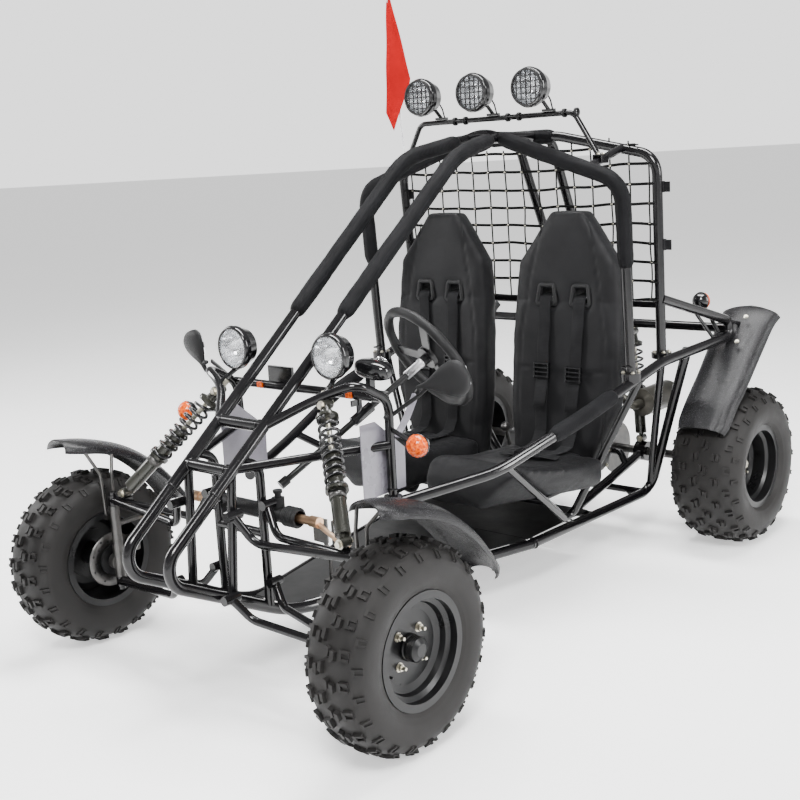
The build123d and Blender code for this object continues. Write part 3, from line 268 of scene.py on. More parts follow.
BY_NODE = {
    "tyre": RUBBER, "rim": SATIN, "hub_front": SATIN, "arms_": PAINT, "frame_": PAINT, "cage_bars": PAINT,
    "cage_hoops": PAINT, "light_bar": PAINT, "swing_arm": PAINT, "seat_frames": PAINT, "rear_brackets": PAINT,
    "cargo_net": NETTING, "chain_drive": CHAIN, "controls": DARK_STEEL, "dampers": OLIVE, "dash": GLOSS,
    "engine": CAST, "exhaust": MUFFLER, "flag_whip": WHITE, "floor_pan": PLATE, "front_fender": FENDER,
    "rear_fender": FENDER, "knuckle": DARK_STEEL, "lamp_grilles": GLOSS, "lamp_lenses": CLEAR,
    "headlights": GLOSS, "roof_lamps": GLOSS, "mirror_and": SATIN, "mirrors": HARD, "rack_and": COPPER,
    "rear_axle": DARK_STEEL, "side_panels": PALE, "springs": GLOSS, "steering_column": SATIN,
    "steering_rack": HARD, "steering_rim": SOFT, "turn_signals": AMBER, "pennant": RED, "seat_back": LEATHER,
    "seat_cushion": LEATHER, "seat_belts": WEB, "cage_pads": SLEEVE,
}
for name, obj in nodes.items():
    look = next(v for k, v in BY_NODE.items() if name.startswith(k))
    for s in obj.material_slots:
        s.link = "OBJECT"
        s.material = look


# Mesh helpers
def added(name, bm, mat, body, smooth=True, bevel=0.0, sub=0):
    me = bpy.data.meshes.new(name)
    bm.normal_update()
    bm.to_mesh(me)
    bm.free()
    for p in me.polygons:
        p.use_smooth = smooth
    ob = bpy.data.objects.new(name, me)
    bpy.context.scene.collection.objects.link(ob)
    me.materials.append(mat)
    if bevel:
        m = ob.modifiers.new("edge", "BEVEL")
        m.width = bevel
        m.segments = 2
        m.limit_method = "ANGLE"
        m.angle_limit = math.radians(35)
    if sub:
        m = ob.modifiers.new("round", "SUBSURF")
        m.levels = m.render_levels = sub
    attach(ob, body)
    return ob


def basis(axis, up=(0, 0, 1)):
    a = Vector(axis).normalized()
    u = Vector(up)
    if abs(a.dot(u.normalized())) > 0.98:
        u = Vector((0, 1, 0))
    x = u.cross(a).normalized()
    return Matrix((x, a.cross(x), a)).transposed().to_4x4()


def lathe(bm, profile, origin, axis=(1, 0, 0), segments=48, closed=False):
    """The (height, radius) profile turned round the axis."""
    frame_ = Matrix.Translation(Vector(origin)) @ basis(axis)
    rings = []
    for i in range(segments):
        t = 2 * math.pi * i / segments
        c, s = math.cos(t), math.sin(t)
        rings.append([bm.verts.new(frame_ @ Vector((r * c, r * s, h))) for h, r in profile])
    n = len(profile)
    for i in range(segments):
        a, b = rings[i], rings[(i + 1) % len(rings)]
        for j in range(n if closed else n - 1):
            k = (j + 1) % n
            if profile[j][1] < 1e-6 and profile[k][1] < 1e-6:
                continue
            bm.faces.new((a[j], a[k], b[k], b[j]))
    bmesh.ops.remove_doubles(bm, verts=bm.verts, dist=1e-6)


def skin(bm, rings):
    """Faces between closed rings of points."""
    for a, b in zip(rings, rings[1:]):
        for j in range(len(a)):
            q = (j + 1) % len(a)
            bm.faces.new((a[j], a[q], b[q], b[j]))


def band(bm, low, high, inner, outer, origin, axis, segments):
    """A plain ring between two heights and two radii."""
    lathe(bm, [(low, inner), (low, outer), (high, outer), (high, inner)], origin, axis, segments, closed=True)


def box_at(bm, low, high, matrix=Matrix.Identity(4), taper=1.0):
    lo, hi = Vector(low), Vector(high)
    c = (lo + hi) / 2
    vs = []
    for z in (0, 1):
        k = taper if z else 1.0
        for x, y in ((0, 0), (1, 0), (1, 1), (0, 1)):
            p = Vector((hi.x if x else lo.x, hi.y if y else lo.y, hi.z if z else lo.z))
            p.x = c.x + (p.x - c.x) * k
            p.y = c.y + (p.y - c.y) * k
            vs.append(bm.verts.new(matrix @ p))
    for f in ((3, 2, 1, 0), (4, 5, 6, 7), (0, 1, 5, 4), (1, 2, 6, 5), (2, 3, 7, 6), (3, 0, 4, 7)):
        bm.faces.new([vs[i] for i in f])
    return vs


def rounded(points, bends, step=math.radians(7)):
    """The points with arcs of those bend radii at the corners."""
    pts = [Vector(p) for p in points]
    if not isinstance(bends, (list, tuple)):
        bends = [bends] * (len(pts) - 2)
    out = [pts[0]]
    for i in range(1, len(pts) - 1):
        a, b, c = pts[i - 1], pts[i], pts[i + 1]
        u, v = (a - b).normalized(), (c - b).normalized()
        ang = u.angle(v)
        if ang > math.pi - 0.01 or bends[i - 1] <= 0:
            out.append(b)
            continue
        r = bends[i - 1]
        d = min(r / math.tan(ang / 2), (a - b).length * 0.98, (c - b).length * 0.98)
        r = d * math.tan(ang / 2)
        centre = b + (u + v).normalized() * (r / math.sin(ang / 2))
        p0, p1 = b + u * d - centre, b + v * d - centre
        total = p0.angle(p1)
        n = max(2, int(total / step))
        ax = p0.cross(p1).normalized()
        for k in range(n + 1):
            out.append(centre + Matrix.Rotation(total * k / n, 3, ax) @ p0)
    out.append(pts[-1])
    return out


def resampled(points, step):
    pts = [Vector(p) for p in points]
    out = [pts[0]]
    for a, b in zip(pts, pts[1:]):
        n = max(1, round((b - a).length / step))
        out += [a.lerp(b, k / n) for k in range(1, n + 1)]
    return out


def pipe(bm, points, radius, sides=12, closed=False, caps=True, shape=None):
    """A tube along the points; radius is a number or a function of (index, count, angle)."""
    pts = [Vector(p) for p in points]
    n = len(pts)
    up = None
    rings = []
    for i in range(n):
        if closed:
            t = (pts[(i + 1) % n] - pts[i - 1]).normalized()
        else:
            t = (pts[min(i + 1, n - 1)] - pts[max(i - 1, 0)]).normalized()
        if up is None:
            up = t.orthogonal().normalized()
            if abs(t.z) < 0.9:
                up = (Vector((0, 0, 1)) - t * t.z).normalized()
        up = (up - t * up.dot(t)).normalized()
        side = t.cross(up)
        ring = []
        for k in range(sides):
            ang = 2 * math.pi * k / sides
            r = radius(i, n, ang) if callable(radius) else radius
            ca, sa = math.cos(ang), math.sin(ang)
            if shape:
                ca, sa = ca * shape[0], sa * shape[1]
            ring.append(bm.verts.new(pts[i] + up * ca * r + side * sa * r))
        rings.append(ring)
    last = n if closed else n - 1
    for i in range(last):
        a, b = rings[i], rings[(i + 1) % n]
        for k in range(sides):
            j = (k + 1) % sides
            bm.faces.new((a[k], b[k], b[j], a[j]))
    if caps and not closed:
        bm.faces.new(rings[0])
        bm.faces.new(list(reversed(rings[-1])))


def bolt(bm, at, axis, r=0.006, h=0.005, washer=True, stud=0.0):
    """A hexagon head on a washer, with a stud end if wanted."""
    base = 0.0
    if washer:
        lathe(bm, [(0, 0), (0, r * 1.55), (0.0012, r * 1.55), (0.0012, 0)], at, axis, 16)
        base = 0.0012
    m = Matrix.Translation(Vector(at)) @ basis(axis)
    lo, hi = [], []
    for k in range(6):
        a = math.pi / 3 * k
        lo.append(bm.verts.new(m @ Vector((r * 1.1 * math.cos(a), r * 1.1 * math.sin(a), base))))
        hi.append(bm.verts.new(m @ Vector((r * 1.1 * math.cos(a), r * 1.1 * math.sin(a), base + h))))
    bm.faces.new(hi)
    for k in range(6):
        j = (k + 1) % 6
        bm.faces.new((lo[k], lo[j], hi[j], hi[k]))
    if stud:
        lathe(bm, [(base + h * 0.9, r * 0.6), (base + h + stud - 0.001, r * 0.6), (base + h + stud, r * 0.45),
                   (base + h + stud, 0)], at, axis, 12)


def weld(bm, at, axis, radius, bead=0.0022):
    """A rippled ring of weld round a tube."""
    m = Matrix.Translation(Vector(at)) @ basis(axis)
    n = 40
    reach = radius + 0.0004
    pts = [m @ Vector((reach * math.cos(2 * math.pi * i / n), reach * math.sin(2 * math.pi * i / n), 0))
           for i in range(n)]
    pipe(bm, pts, lambda i, c, a: bead * (1 + 0.22 * math.sin(i * 2.6)), 6, closed=True)


SIDES = (("left", 1), ("right", -1))


def on_side(p, s):
    """The point on the left side, or mirrored to the right."""
    return (p[0] * s, p[1], p[2])


# Main stations of the frame, in metres, as in the CAD
A = -0.9065
R = 0.8935
FW = (0.6035, A, 0.257)
RW = (0.579, R, 0.270)
NOSE = (0.082, -1.2025, 0.395)
BEND = (0.101, 0.031, 1.366)


def on_pillar(z):
    k = (z - NOSE[2]) / (BEND[2] - NOSE[2])
    return tuple(a + (b - a) * k for a, b in zip(NOSE, BEND))


def mixp(a, b, t):
    return tuple(x + (y - x) * t for x, y in zip(a, b))


# Tyres
def lug_block(bm, outline, r_in, r_out, x_to_r, centre, theta, sign, taper=0.84):
    """A knob with its outline in (x, arc length), standing on the carcass and leaning to its crown."""
    cx = sum(p[0] for p in outline) / len(outline)
    ct = sum(p[1] for p in outline) / len(outline)
    rings = []
    for level, k in ((0, 1.0), (1, taper)):
        ring = []
        for x, t in outline:
            xx = cx + (x - cx) * k
            tt = ct + (t - ct) * k
            r0 = x_to_r(abs(xx))
            nx, nr = normal_at(x_to_r, abs(xx))
            d = r_out if level else -r_in
            px = abs(xx) + nx * d
            pr = r0 + nr * d
            a = theta + tt / 0.25
            ring.append(bm.verts.new(Vector(centre) + Vector((math.copysign(px, xx) * sign, -pr * math.sin(a),
                                                              pr * math.cos(a)))))
        rings.append(ring)
    n = len(outline)
    order = rings[1] if sign > 0 else list(reversed(rings[1]))
    bm.faces.new(order)
    for i in range(n):
        j = (i + 1) % n
        f = (rings[0][i], rings[0][j], rings[1][j], rings[1][i])
        bm.faces.new(f if sign > 0 else tuple(reversed(f)))


def normal_at(fn, x):
    e = 0.0015
    d = (fn(x + e) - fn(x - e)) / (2 * e)
    length = math.hypot(d, 1)
    return (-d / length, 1 / length)


# Rows of outlined knobs down the shoulder: place across, size, shift along in steps
WIDE_ROWS = ((0.080, 0.024, 0.5), (0.1045, 0.017, 0.0))
SLIM_ROWS = ((0.040, 0.025, 0.5), (0.0665, 0.019, 0.0))


def tyre(name, centre, sign, body, width, od, lip, count, wide):
    """A knobbly tyre: smooth carcass, split middle blocks, and rows of small knobs down the shoulder."""
    lug = 0.0105
    crown = od / 2 - lug
    half = width / 2
    bead = lip - 0.014

    def outer(x):
        """Radius of the carcass at the distance x from the middle."""
        t = min(abs(x) / (half - 0.0005), 0.9999)
        return crown - (crown - 0.192) * (1 - (1 - t ** 3.1) ** (1 / 2.1))

    prof = [(bead - 0.004, 0.1275), (bead + 0.002, 0.1295), (bead + 0.0065, 0.134), (bead + 0.0095, 0.1395),
            (half - 0.0085, 0.152), (half - 0.0078, 0.1535), (half - 0.0045, 0.164), (half - 0.0038, 0.1655),
            (half - 0.0015, 0.176), (half - 0.0005, 0.189)]
    upper = [(x, outer(x)) for x in [(half - 0.0005) * k for k in
                                    (0.997, 0.985, 0.96, 0.92, 0.86, 0.78, 0.68, 0.56, 0.42, 0.26, 0.1, 0.0)]]
    right = prof + upper
    profile = right + [(-h, r) for h, r in reversed(right[:-1])]
    bm = bmesh.new()
    lathe(bm, profile, centre, (1, 0, 0), 112, closed=True)
    for i in range(count):
        th = 2 * math.pi * i / count
        step = math.pi / count
        for s in (1, -1):
            # pairs of split wedge blocks in the middle
            for k, (x0, x1) in enumerate(((0.003, 0.0145), (0.0175, 0.030))):
                tilt = 0.006 if k else -0.001
                wedge = [(x0, -0.014 + tilt), (x1, -0.011 + tilt), (x1, 0.010 + tilt), (x0, 0.016 + tilt)]
                lug_block(bm, wedge, 0.003, lug, outer, centre, th + (step if s > 0 else 0), s)
            if wide:
                for x0 in (0.044, 0.058):
                    lug_block(bm, [(x0, -0.012), (x0 + 0.011, -0.010), (x0 + 0.011, 0.012), (x0, 0.010)],
                              0.003, lug, outer, centre, th + (0 if s > 0 else step), s)
            for x0, size, shift in WIDE_ROWS if wide else SLIM_ROWS:
                # an outlined knob: a U of thick walls round a sunk middle
                a = th + (0 if s > 0 else step) + shift * 2 * step
                w = size * 0.85
                wall = size * 0.3
                tall = lug * (0.95 if size > 0.02 else 0.55)
                x1 = min(x0 + w, half - 0.004)
                for o in ([(x0, -size / 2), (x1, -size / 2), (x1, -size / 2 + wall), (x0, -size / 2 + wall)],
                          [(x0, size / 2 - wall), (x1, size / 2 - wall), (x1, size / 2), (x0, size / 2)],
                          [(x0, -size / 2), (x0 + wall, -size / 2), (x0 + wall, size / 2), (x0, size / 2)]):
                    lug_block(bm, o, 0.002, tall, outer, centre, a, s, 0.92)
                lug_block(bm, [(x0 + wall * 0.5, -size / 2 + wall), (x1, -size / 2 + wall),
                               (x1, size / 2 - wall), (x0 + wall * 0.5, size / 2 - wall)],
                          0.002, tall * 0.45, outer, centre, a, s, 1.0)
    ob = added(name, bm, RUBBER, body)
    m = ob.modifiers.new("split", "EDGE_SPLIT")
    m.split_angle = math.radians(32)
    return ob


# Each end: its wheel centre, width, outer diameter, bead place, lug count, and whether it is the wide kind
TYRES = (("front", FW, 0.176, 0.514, 0.076, 22, False), ("rear", RW, 0.250, 0.540, 0.102, 20, True))
for side, s in SIDES:
    for end, hub, width, od, lip, count, wide in TYRES:
        body = f"wheel_front_{side}" if end == "front" else "rear_axle"
        ob = tyre(f"tread_{end}_{side}", on_side(hub, s), s, body, width, od, lip, count, wide)
        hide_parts(f"tyre_{end}_{side}")

# Wheel trim
FRONT_STUDS, REAR_STUDS = 0.052, 0.055
for side, s in SIDES:
    body = f"wheel_front_{side}"
    out = (s, 0, 0)
    face = (FW[0] + 0.030) * s
    bm = bmesh.new()
    for k in range(4):
        a = math.radians(45 + 90 * k)
        at = (face + 0.0003 * s, A + FRONT_STUDS * math.cos(a), FW[2] + FRONT_STUDS * math.sin(a))
        bolt(bm, at, out, 0.0075, 0.008, stud=0.012)
    added(f"wheel_studs_front_{side}", bm, ZINC, body, smooth=False)
    bm = bmesh.new()
    lathe(bm, [(0.0002, 0.0302), (0.003, 0.033), (0.007, 0.033), (0.009, 0.0302)], (face, A, FW[2]), out, 40)
    for k in range(3):
        lathe(bm, [(0.012 + 0.006 * k, 0.0297), (0.0135 + 0.006 * k, 0.0306), (0.015 + 0.006 * k, 0.0295)],
              (face + 0.004 * s, A, FW[2]), out, 40)
    a = math.radians(200)
    lathe(bm, [(0, 0), (0, 0.004), (0.022, 0.0035), (0.024, 0.0035), (0.025, 0.0028), (0.025, 0)],
          (face + 0.006 * s, A + 0.1 * math.cos(a), FW[2] + 0.1 * math.sin(a)), out, 12)
    added(f"hub_rings_front_{side}", bm, SATIN, body)
    # holes and slots of the brake disc, seen from inside, drawn as thin black discs on both faces: painted
    # shade standing in for open holes
    bm = bmesh.new()
    for k in range(18):
        a = 2 * math.pi * k / 18
        r = 0.056 if k % 2 else 0.068
        for x in (0.5138, 0.5182):
            lathe(bm, [(0, 0), (0, 0.0038), (0.0003, 0.0038), (0.0003, 0)],
                  (x * s, A + r * math.cos(a), FW[2] + r * math.sin(a)), (s if x > 0.516 else -s, 0, 0), 10)
    added(f"painted_disc_hole_shade_{side}", bm, HARD, body, smooth=False)
    bm = bmesh.new()
    for near, far in ((0.51375, 0.51370), (0.51825, 0.51830)):
        band(bm, near, far, 0.0455, 0.0795, (0, A, FW[2]), (s, 0, 0), 64)
    added(f"disc_faces_{side}", bm, DARK_STEEL, body)
    # rear studs and rim trim
    face = (RW[0] + 0.018) * s
    bm = bmesh.new()
    for k in range(4):
        a = math.radians(45 + 90 * k)
        at = (face + 0.0003 * s, R + REAR_STUDS * math.cos(a), RW[2] + REAR_STUDS * math.sin(a))
        bolt(bm, at, out, 0.008, 0.009, stud=0.01)
    bolt(bm, (face + 0.0265 * s, R, RW[2]), out, 0.011, 0.006)
    added(f"wheel_studs_rear_{side}", bm, ZINC, "rear_axle", smooth=False)

# Coil springs
WIRE_R, COIL_R = 0.0045, 0.0252
SHOCKS = []
for s in (1, -1):
    SHOCKS.append(((0.432 * s, A + 0.014, 0.470), (0.212 * s, A + 0.203, 0.752), 0.150, 9.2))
    SHOCKS.append(((0.230 * s, R - 0.010, 0.3203), (0.196 * s, R + 0.003, 0.7087), 0.130, 8.2))
bm = bmesh.new()
for foot, top, start, turns in SHOCKS:
    axis = Vector(top) - Vector(foot)
    length = axis.length
    m = Matrix.Translation(Vector(foot)) @ basis(axis)
    lo, hi = start + WIRE_R, length - 0.046 - WIRE_R
    n = int(turns * 26)
    pts = []
    for i in range(n + 1):
        t = i / n
        # closed end turns
        e = 1.0 / turns
        if t < e:
            k = 0.18 * t / e
        elif t > 1 - e:
            k = 1 - 0.18 * (1 - t) / e
        else:
            k = 0.18 + 0.64 * (t - e) / (1 - 2 * e)
        ang = 2 * math.pi * turns * t
        z = lo + (hi - lo) * min(max((k - 0.09) / 0.82, 0), 1)
        pts.append(m @ Vector((COIL_R * math.cos(ang), COIL_R * math.sin(ang), z)))
    pipe(bm, pts, WIRE_R, 8)
coil = added("coil_springs", bm, GLOSS, "chassis")
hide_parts("springs")
bm = bmesh.new()
for foot, top, start, turns in SHOCKS:
    axis = (Vector(top) - Vector(foot))
    length = axis.length
    band(bm, start - 0.03, start - 0.012, 0.0203, 0.0228, foot, axis, 36)
    neck = length * 0.62
    lathe(bm, [(neck, 0.0202), (neck + 0.004, 0.016), (neck + 0.004, 0.0072)], foot, axis, 32)
added("damper_collars", bm, DARK_STEEL, "chassis")
bm = bmesh.new()
for foot, top, start, turns in SHOCKS:
    for end in (foot, top):
        for d in (1, -1):
            bolt(bm, (end[0], end[1] + 0.0162 * d, end[2]), (0, d, 0), 0.008, 0.007)
    lathe(bm, [(0, 0.0073), (0.19, 0.0073)], mixp(foot, top, 0.63), Vector(top) - Vector(foot), 20)
added("damper_bolts", bm, ZINC, "chassis", smooth=False)

# Seats
LEAN = math.radians(5.5)
SEAT_X = 0.255


def seat_matrix(s):
    z = Vector((0, -math.cos(LEAN), math.sin(LEAN)))
    x = Vector((1, 0, 0)) * s
    y = Vector((0, math.sin(LEAN), math.cos(LEAN)))
    return Matrix.Translation(Vector((SEAT_X * s, 0.379, 0.335))) @ Matrix((x, y, z)).transposed().to_4x4()


PAD_VOXEL, PAD_PRESSURE, PAD_SWELL, LAST_FRAME = 0.0085, 3.0, 0.005, 14


def inflated(name, source):
    """A cloth-simulated copy of the CAD solid: remeshed, blown up a little and capped."""
    me = source.data.copy()
    ob = bpy.data.objects.new(name, me)
    bpy.context.scene.collection.objects.link(ob)
    ob.matrix_world = source.matrix_world.copy()
    for mod in list(ob.modifiers):
        ob.modifiers.remove(mod)
    r = ob.modifiers.new("grid", "REMESH")
    r.mode = "VOXEL"
    r.voxel_size = PAD_VOXEL
    bpy.context.view_layer.update()
    dg = bpy.context.evaluated_depsgraph_get()
    new = bpy.data.meshes.new_from_object(ob.evaluated_get(dg))
    ob.modifiers.clear()
    ob.data = new
    rest = [v.co.copy() for v in new.vertices]
    c = ob.modifiers.new("cloth", "CLOTH")
    c.settings.quality = 4
    c.settings.use_pressure = True
    c.settings.uniform_pressure_force = PAD_PRESSURE
    c.settings.effector_weights.gravity = 0
    c.settings.tension_stiffness = 18
    c.settings.bending_stiffness = 0.6
    c.point_cache.frame_start = 1
    c.point_cache.frame_end = LAST_FRAME
    for f in range(1, LAST_FRAME + 1):
        bpy.context.scene.frame_set(f)
    dg = bpy.context.evaluated_depsgraph_get()
    blown = bpy.data.meshes.new_from_object(ob.evaluated_get(dg))
    moved = [v.co.copy() for v in blown.vertices]
    ob.modifiers.clear()
    bpy.context.scene.frame_set(1)
    for v, a, b in zip(new.vertices, rest, moved):
        d = b - a
        if d.length > PAD_SWELL:
            d = d.normalized() * PAD_SWELL
        v.co = a + d
    return ob


def smooth_steps(ob, passes):
    bm = bmesh.new()
    bm.from_mesh(ob.data)
    for _ in range(passes):
        bmesh.ops.smooth_vert(bm, verts=bm.verts, factor=0.5, use_axis_x=True, use_axis_y=True,
                              use_axis_z=True)
    bm.to_mesh(ob.data)
    bm.free()


def seg_dist(p, a, b):
    ab = (b[0] - a[0], b[1] - a[1])
    t = max(0, min(1, ((p[0] - a[0]) * ab[0] + (p[1] - a[1]) * ab[1]) / (ab[0] ** 2 + ab[1] ** 2 + 1e-12)))
    return math.hypot(p[0] - a[0] - ab[0] * t, p[1] - a[1] - ab[1] * t)


# Seams on the seat back's front, in its own (u, v) plane, outboard side first
BACK_SEAMS = [
    [(0.150, 0.03), (0.163, 0.2), (0.158, 0.42), (0.128, 0.62), (0.088, 0.80)],
    [(-0.150, 0.03), (-0.163, 0.2), (-0.158, 0.42), (-0.128, 0.62), (-0.088, 0.80)],
    [(-0.163, 0.33), (-0.05, 0.315), (0.05, 0.315), (0.163, 0.33)],
]
TOP_TICKS = [[(x, 0.80), (x * 1.06, 0.845)] for x in (-0.035, 0.035)]


def groove(d, half=0.007):
    """How deep a seam is at a distance from its line, 1 in the middle."""
    return max(0.0, 1 - d / half) ** 2


def finish_back(ob, s):
    m = seat_matrix(s)
    inv = m.inverted()
    sag = []
    for v in ob.data.vertices:
        p = inv @ (ob.matrix_world @ v.co)
        d = min(seg_dist((p.x, p.y), a, b) for line in BACK_SEAMS for a, b in line_pairs(line))
        tick = min(seg_dist((p.x, p.y), a, b) for line in TOP_TICKS for a, b in line_pairs(line))
        shift = Vector((0, 0, 0))
        if p.z > 0.045:
            dish = -0.006 * max(0, 1 - (p.x / 0.15) ** 2) * max(0, 1 - ((p.y - 0.3) / 0.28) ** 2)
            wrinkle = 0.0012 * noise.noise(Vector((p.x * 9, p.y * 26, 3.1 * s)))
            shift.z = dish - 0.0045 * groove(d) + wrinkle
        if tick < 0.006 and p.y > 0.74:
            shift.z -= 0.003 * groove(tick, 0.006)
            shift.y -= 0.002 * groove(tick, 0.006)
        q = m @ (p + shift)
        sag.append(ob.matrix_world.inverted() @ q)
    for v, c in zip(ob.data.vertices, sag):
        v.co = c


def line_pairs(line):
    return list(zip(line, line[1:]))


def finish_cushion(ob, s):
    for v in ob.data.vertices:
        p = ob.matrix_world @ v.co
        u = (p.x - SEAT_X * s) * s
        y = p.y
        if p.z > 0.40:
            d = min(seg_dist((u, y), a, b) for line in CUSHION_SEAMS for a, b in line_pairs(line))
            dish = -0.007 * max(0, 1 - (u / 0.14) ** 2) * max(0, 1 - ((y - 0.13) / 0.15) ** 2)
            p.z += dish - 0.0045 * groove(d) + 0.0014 * noise.noise(Vector((u * 14, y * 14, 7.7 * s)))
        elif y < -0.13 and p.z > 0.34:
            p.y += 0.001 * noise.noise(Vector((u * 20, p.z * 30, 1.0)))
        v.co = ob.matrix_world.inverted() @ p


CUSHION_SEAMS = [[(0.128, -0.16), (0.128, 0.30)], [(-0.128, -0.16), (-0.128, 0.30)],
                 [(-0.128, -0.05), (0.128, -0.05)]]

for side, s in SIDES:
    for form, finish in (("back", finish_back), ("cushion", finish_cushion)):
        src = nodes[f"seat_{form}_{side}"]
        ob = inflated(f"{form}_pad_{side}", src)
        smooth_steps(ob, 3)
        finish(ob, s)
        ob.data.materials.clear()
        ob.data.materials.append(LEATHER)
        for p in ob.data.polygons:
            p.use_smooth = True
        m = ob.modifiers.new("round", "SUBSURF")
        m.levels = m.render_levels = 1
        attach(ob, "chassis")
        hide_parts(src.name)

# Thick rims of the belt holes, and piping along the seams
HOLE = [(-0.034, -0.030), (0.034, -0.030), (0.026, 0.030), (-0.026, 0.030)]
bm = bmesh.new()
for s in (1, -1):
    m = seat_matrix(s)
    for u0 in (0.064, -0.064):
        for w, r in ((0.0725, 0.0086), (0.0012, 0.005)):
            corners = [m @ Vector((u0 + x * 1.03, 0.568 + y * 1.03, w)) for x, y in HOLE + HOLE[:2]]
            ring = resampled(rounded(corners, 0.009)[1:-1], 0.006)
            cut = min(range(len(ring) // 2, len(ring)), key=lambda i: (ring[i] - ring[0]).length)
            pipe(bm, ring[:cut], r, 8, closed=True)
        corners = [m @ Vector((u0 + x * 0.99, 0.568 + y * 0.99, 0)) for x, y in HOLE]
        deep = [m @ Vector((u0 + x * 0.99, 0.568 + y * 0.99, 0.073)) for x, y in HOLE]
        lo = [bm.verts.new(c) for c in corners]
        hi = [bm.verts.new(c) for c in deep]
        for k in range(4):
            j = (k + 1) % 4
            bm.faces.new((lo[k], hi[k], hi[j], lo[j]))
added("belt_hole_rims", bm, HARD, "chassis")
bm = bmesh.new()
for s in (1, -1):
    m = seat_matrix(s)
    for line in BACK_SEAMS[:2]:
        pts = resampled([m @ Vector((u, v, 0.0735)) for u, v in line], 0.02)
        pipe(bm, pts, 0.0016, 6)
added("seat_seam_threads", bm, PIPING, "chassis")


# Belts
ROUNDED_FLAT = ((-0.5, -0.25), (-0.5, 0.25), (-0.46, 0.5), (0.46, 0.5), (0.5, 0.25), (0.5, -0.25),
                (0.46, -0.5), (-0.46, -0.5))


def ribbon(bm, pts, width, thick, across=(1, 0, 0)):
    """Flat webbing along the points with a rounded section."""
    ax = Vector(across).normalized()
    rings = []
    n = len(pts)
    for i, p in enumerate(pts):
        t = (Vector(pts[min(i + 1, n - 1)]) - Vector(pts[max(i - 1, 0)])).normalized()
        side = (ax - t * ax.dot(t)).normalized()
        nrm = side.cross(t)
        ring = []
        for x, z in ROUNDED_FLAT:
            ring.append(bm.verts.new(Vector(p) + side * x * width + nrm * z * thick))
        rings.append(ring)
    skin(bm, rings)
    bm.faces.new(list(reversed(rings[0])))
    bm.faces.new(rings[-1])


def back_front(z):
    return 0.379 + (z - 0.335) * math.tan(LEAN) - 0.075 / math.cos(LEAN)


bm = bmesh.new()
bh = bmesh.new()
for s in (1, -1):
    for u in (0.064, -0.064):
        x = (SEAT_X + u) * s
        lift = 0.009
        pts = [(x, back_front(0.915) + 0.09, 0.913), (x, back_front(0.910) + 0.03, 0.9075),
               (x, back_front(0.905) - 0.004, 0.9035), (x, back_front(0.885) - lift, 0.885)]
        z = 0.885
        drift = -0.018 if u > 0 else -0.006
        while z > 0.47:
            z -= 0.02
            k = (0.885 - z) / 0.415
            pts.append((x + drift * s * k, back_front(z) - lift + 0.0015 * math.sin(z * 40 + u * 90), z))
        pts += [(x + drift * s, 0.285, 0.430), (x + drift * s, 0.25, 0.4225),
                (x + drift * s * 1.2, 0.20, 0.4245), (x + drift * s * 1.4, 0.158, 0.4285)]
        ribbon(bm, rounded(pts, 0.012, 0.3), 0.044, 0.0022)
        # the adjuster: a frame with three bars and a folded end of webbing
        az = 0.655 if u > 0 else 0.662
        ay = back_front(az) - lift
        k = (0.885 - az) / 0.415
        ax_ = x + drift * s * k
        m = Matrix.Translation(Vector((ax_, ay, az))) @ Matrix.Rotation(-LEAN, 4, "X")
        for dz in (-0.018, -0.004, 0.010, 0.024):
            box_at(bh, (-0.029, -0.011, dz - 0.003), (0.029, -0.002, dz + 0.003), m)
        for dx in (-0.029, 0.024):
            box_at(bh, (dx, -0.012, -0.024), (dx + 0.005, 0.001, 0.028), m)
        tail = [m @ Vector((0.0, -0.004 - 0.004 * j, -0.03 - 0.022 * j)) for j in range(5)]
        ribbon(bm, tail, 0.044, 0.0022)
    # lap belt halves with tongue and buckle
    lap = [((SEAT_X + dx) * s, y, z) for dx, y, z in (
        (0.1, 0.150, 0.4285), (0.05, 0.140, 0.434), (0.0, 0.135, 0.432), (-0.06, 0.132, 0.431),
        (-0.1, 0.14, 0.4285))]
    ribbon(bm, rounded(lap, 0.03, 0.3), 0.044, 0.0022, (0, 1, 0))
    m = Matrix.Translation(Vector((SEAT_X * s - 0.01 * s, 0.135, 0.4365)))
    box_at(bh, (-0.034, -0.024, -0.006), (0.034, 0.024, 0.008), m, 0.9)
    box_at(bh, (-0.012, -0.013, 0.006), (0.020, 0.013, 0.0115), m, 0.9)
webbing = added("belt_webbing_straps", bm, WEB, "chassis")
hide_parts("seat_belts")
added("belt_hardware", bh, GLOSS, "chassis", smooth=False, bevel=0.0012)


# Foam sleeves
def sleeve(bm, path, radius, seed):
    """A cloth-covered foam tube: puckered ends, soft dents and an overlap seam."""
    pts = resampled(path, 0.012)

    def rad(i, n, a):
        p = pts[i]
        ends = min(i, n - 1 - i)
        r = radius * (0.965 + 0.02 * noise.noise(Vector((p.x * 11 + seed, p.y * 11, p.z * 11 + math.cos(a)))))
        r += radius * 0.035 * noise.noise(Vector((math.cos(a) * 2.2 + seed, math.sin(a) * 2.2, i * 0.16)))
        r += 0.0011 * noise.noise(Vector((math.cos(a) * 1.2 + seed, math.sin(a) * 1.2, i * 0.75)))
        r += 0.0007 * math.sin(a * 9 + noise.noise(p * 8) * 5) * (1 if ends > 2 else 2)
        if ends == 0:
            r *= 0.70
        elif ends == 1:
            r *= 0.90
        elif ends == 2:
            r *= 0.97
        seam = abs((a - 2.4 + math.pi) % (2 * math.pi) - math.pi)
        if seam < 0.12:
            r -= 0.0016
        return min(r, radius)

    pipe(bm, pts, rad, 28)


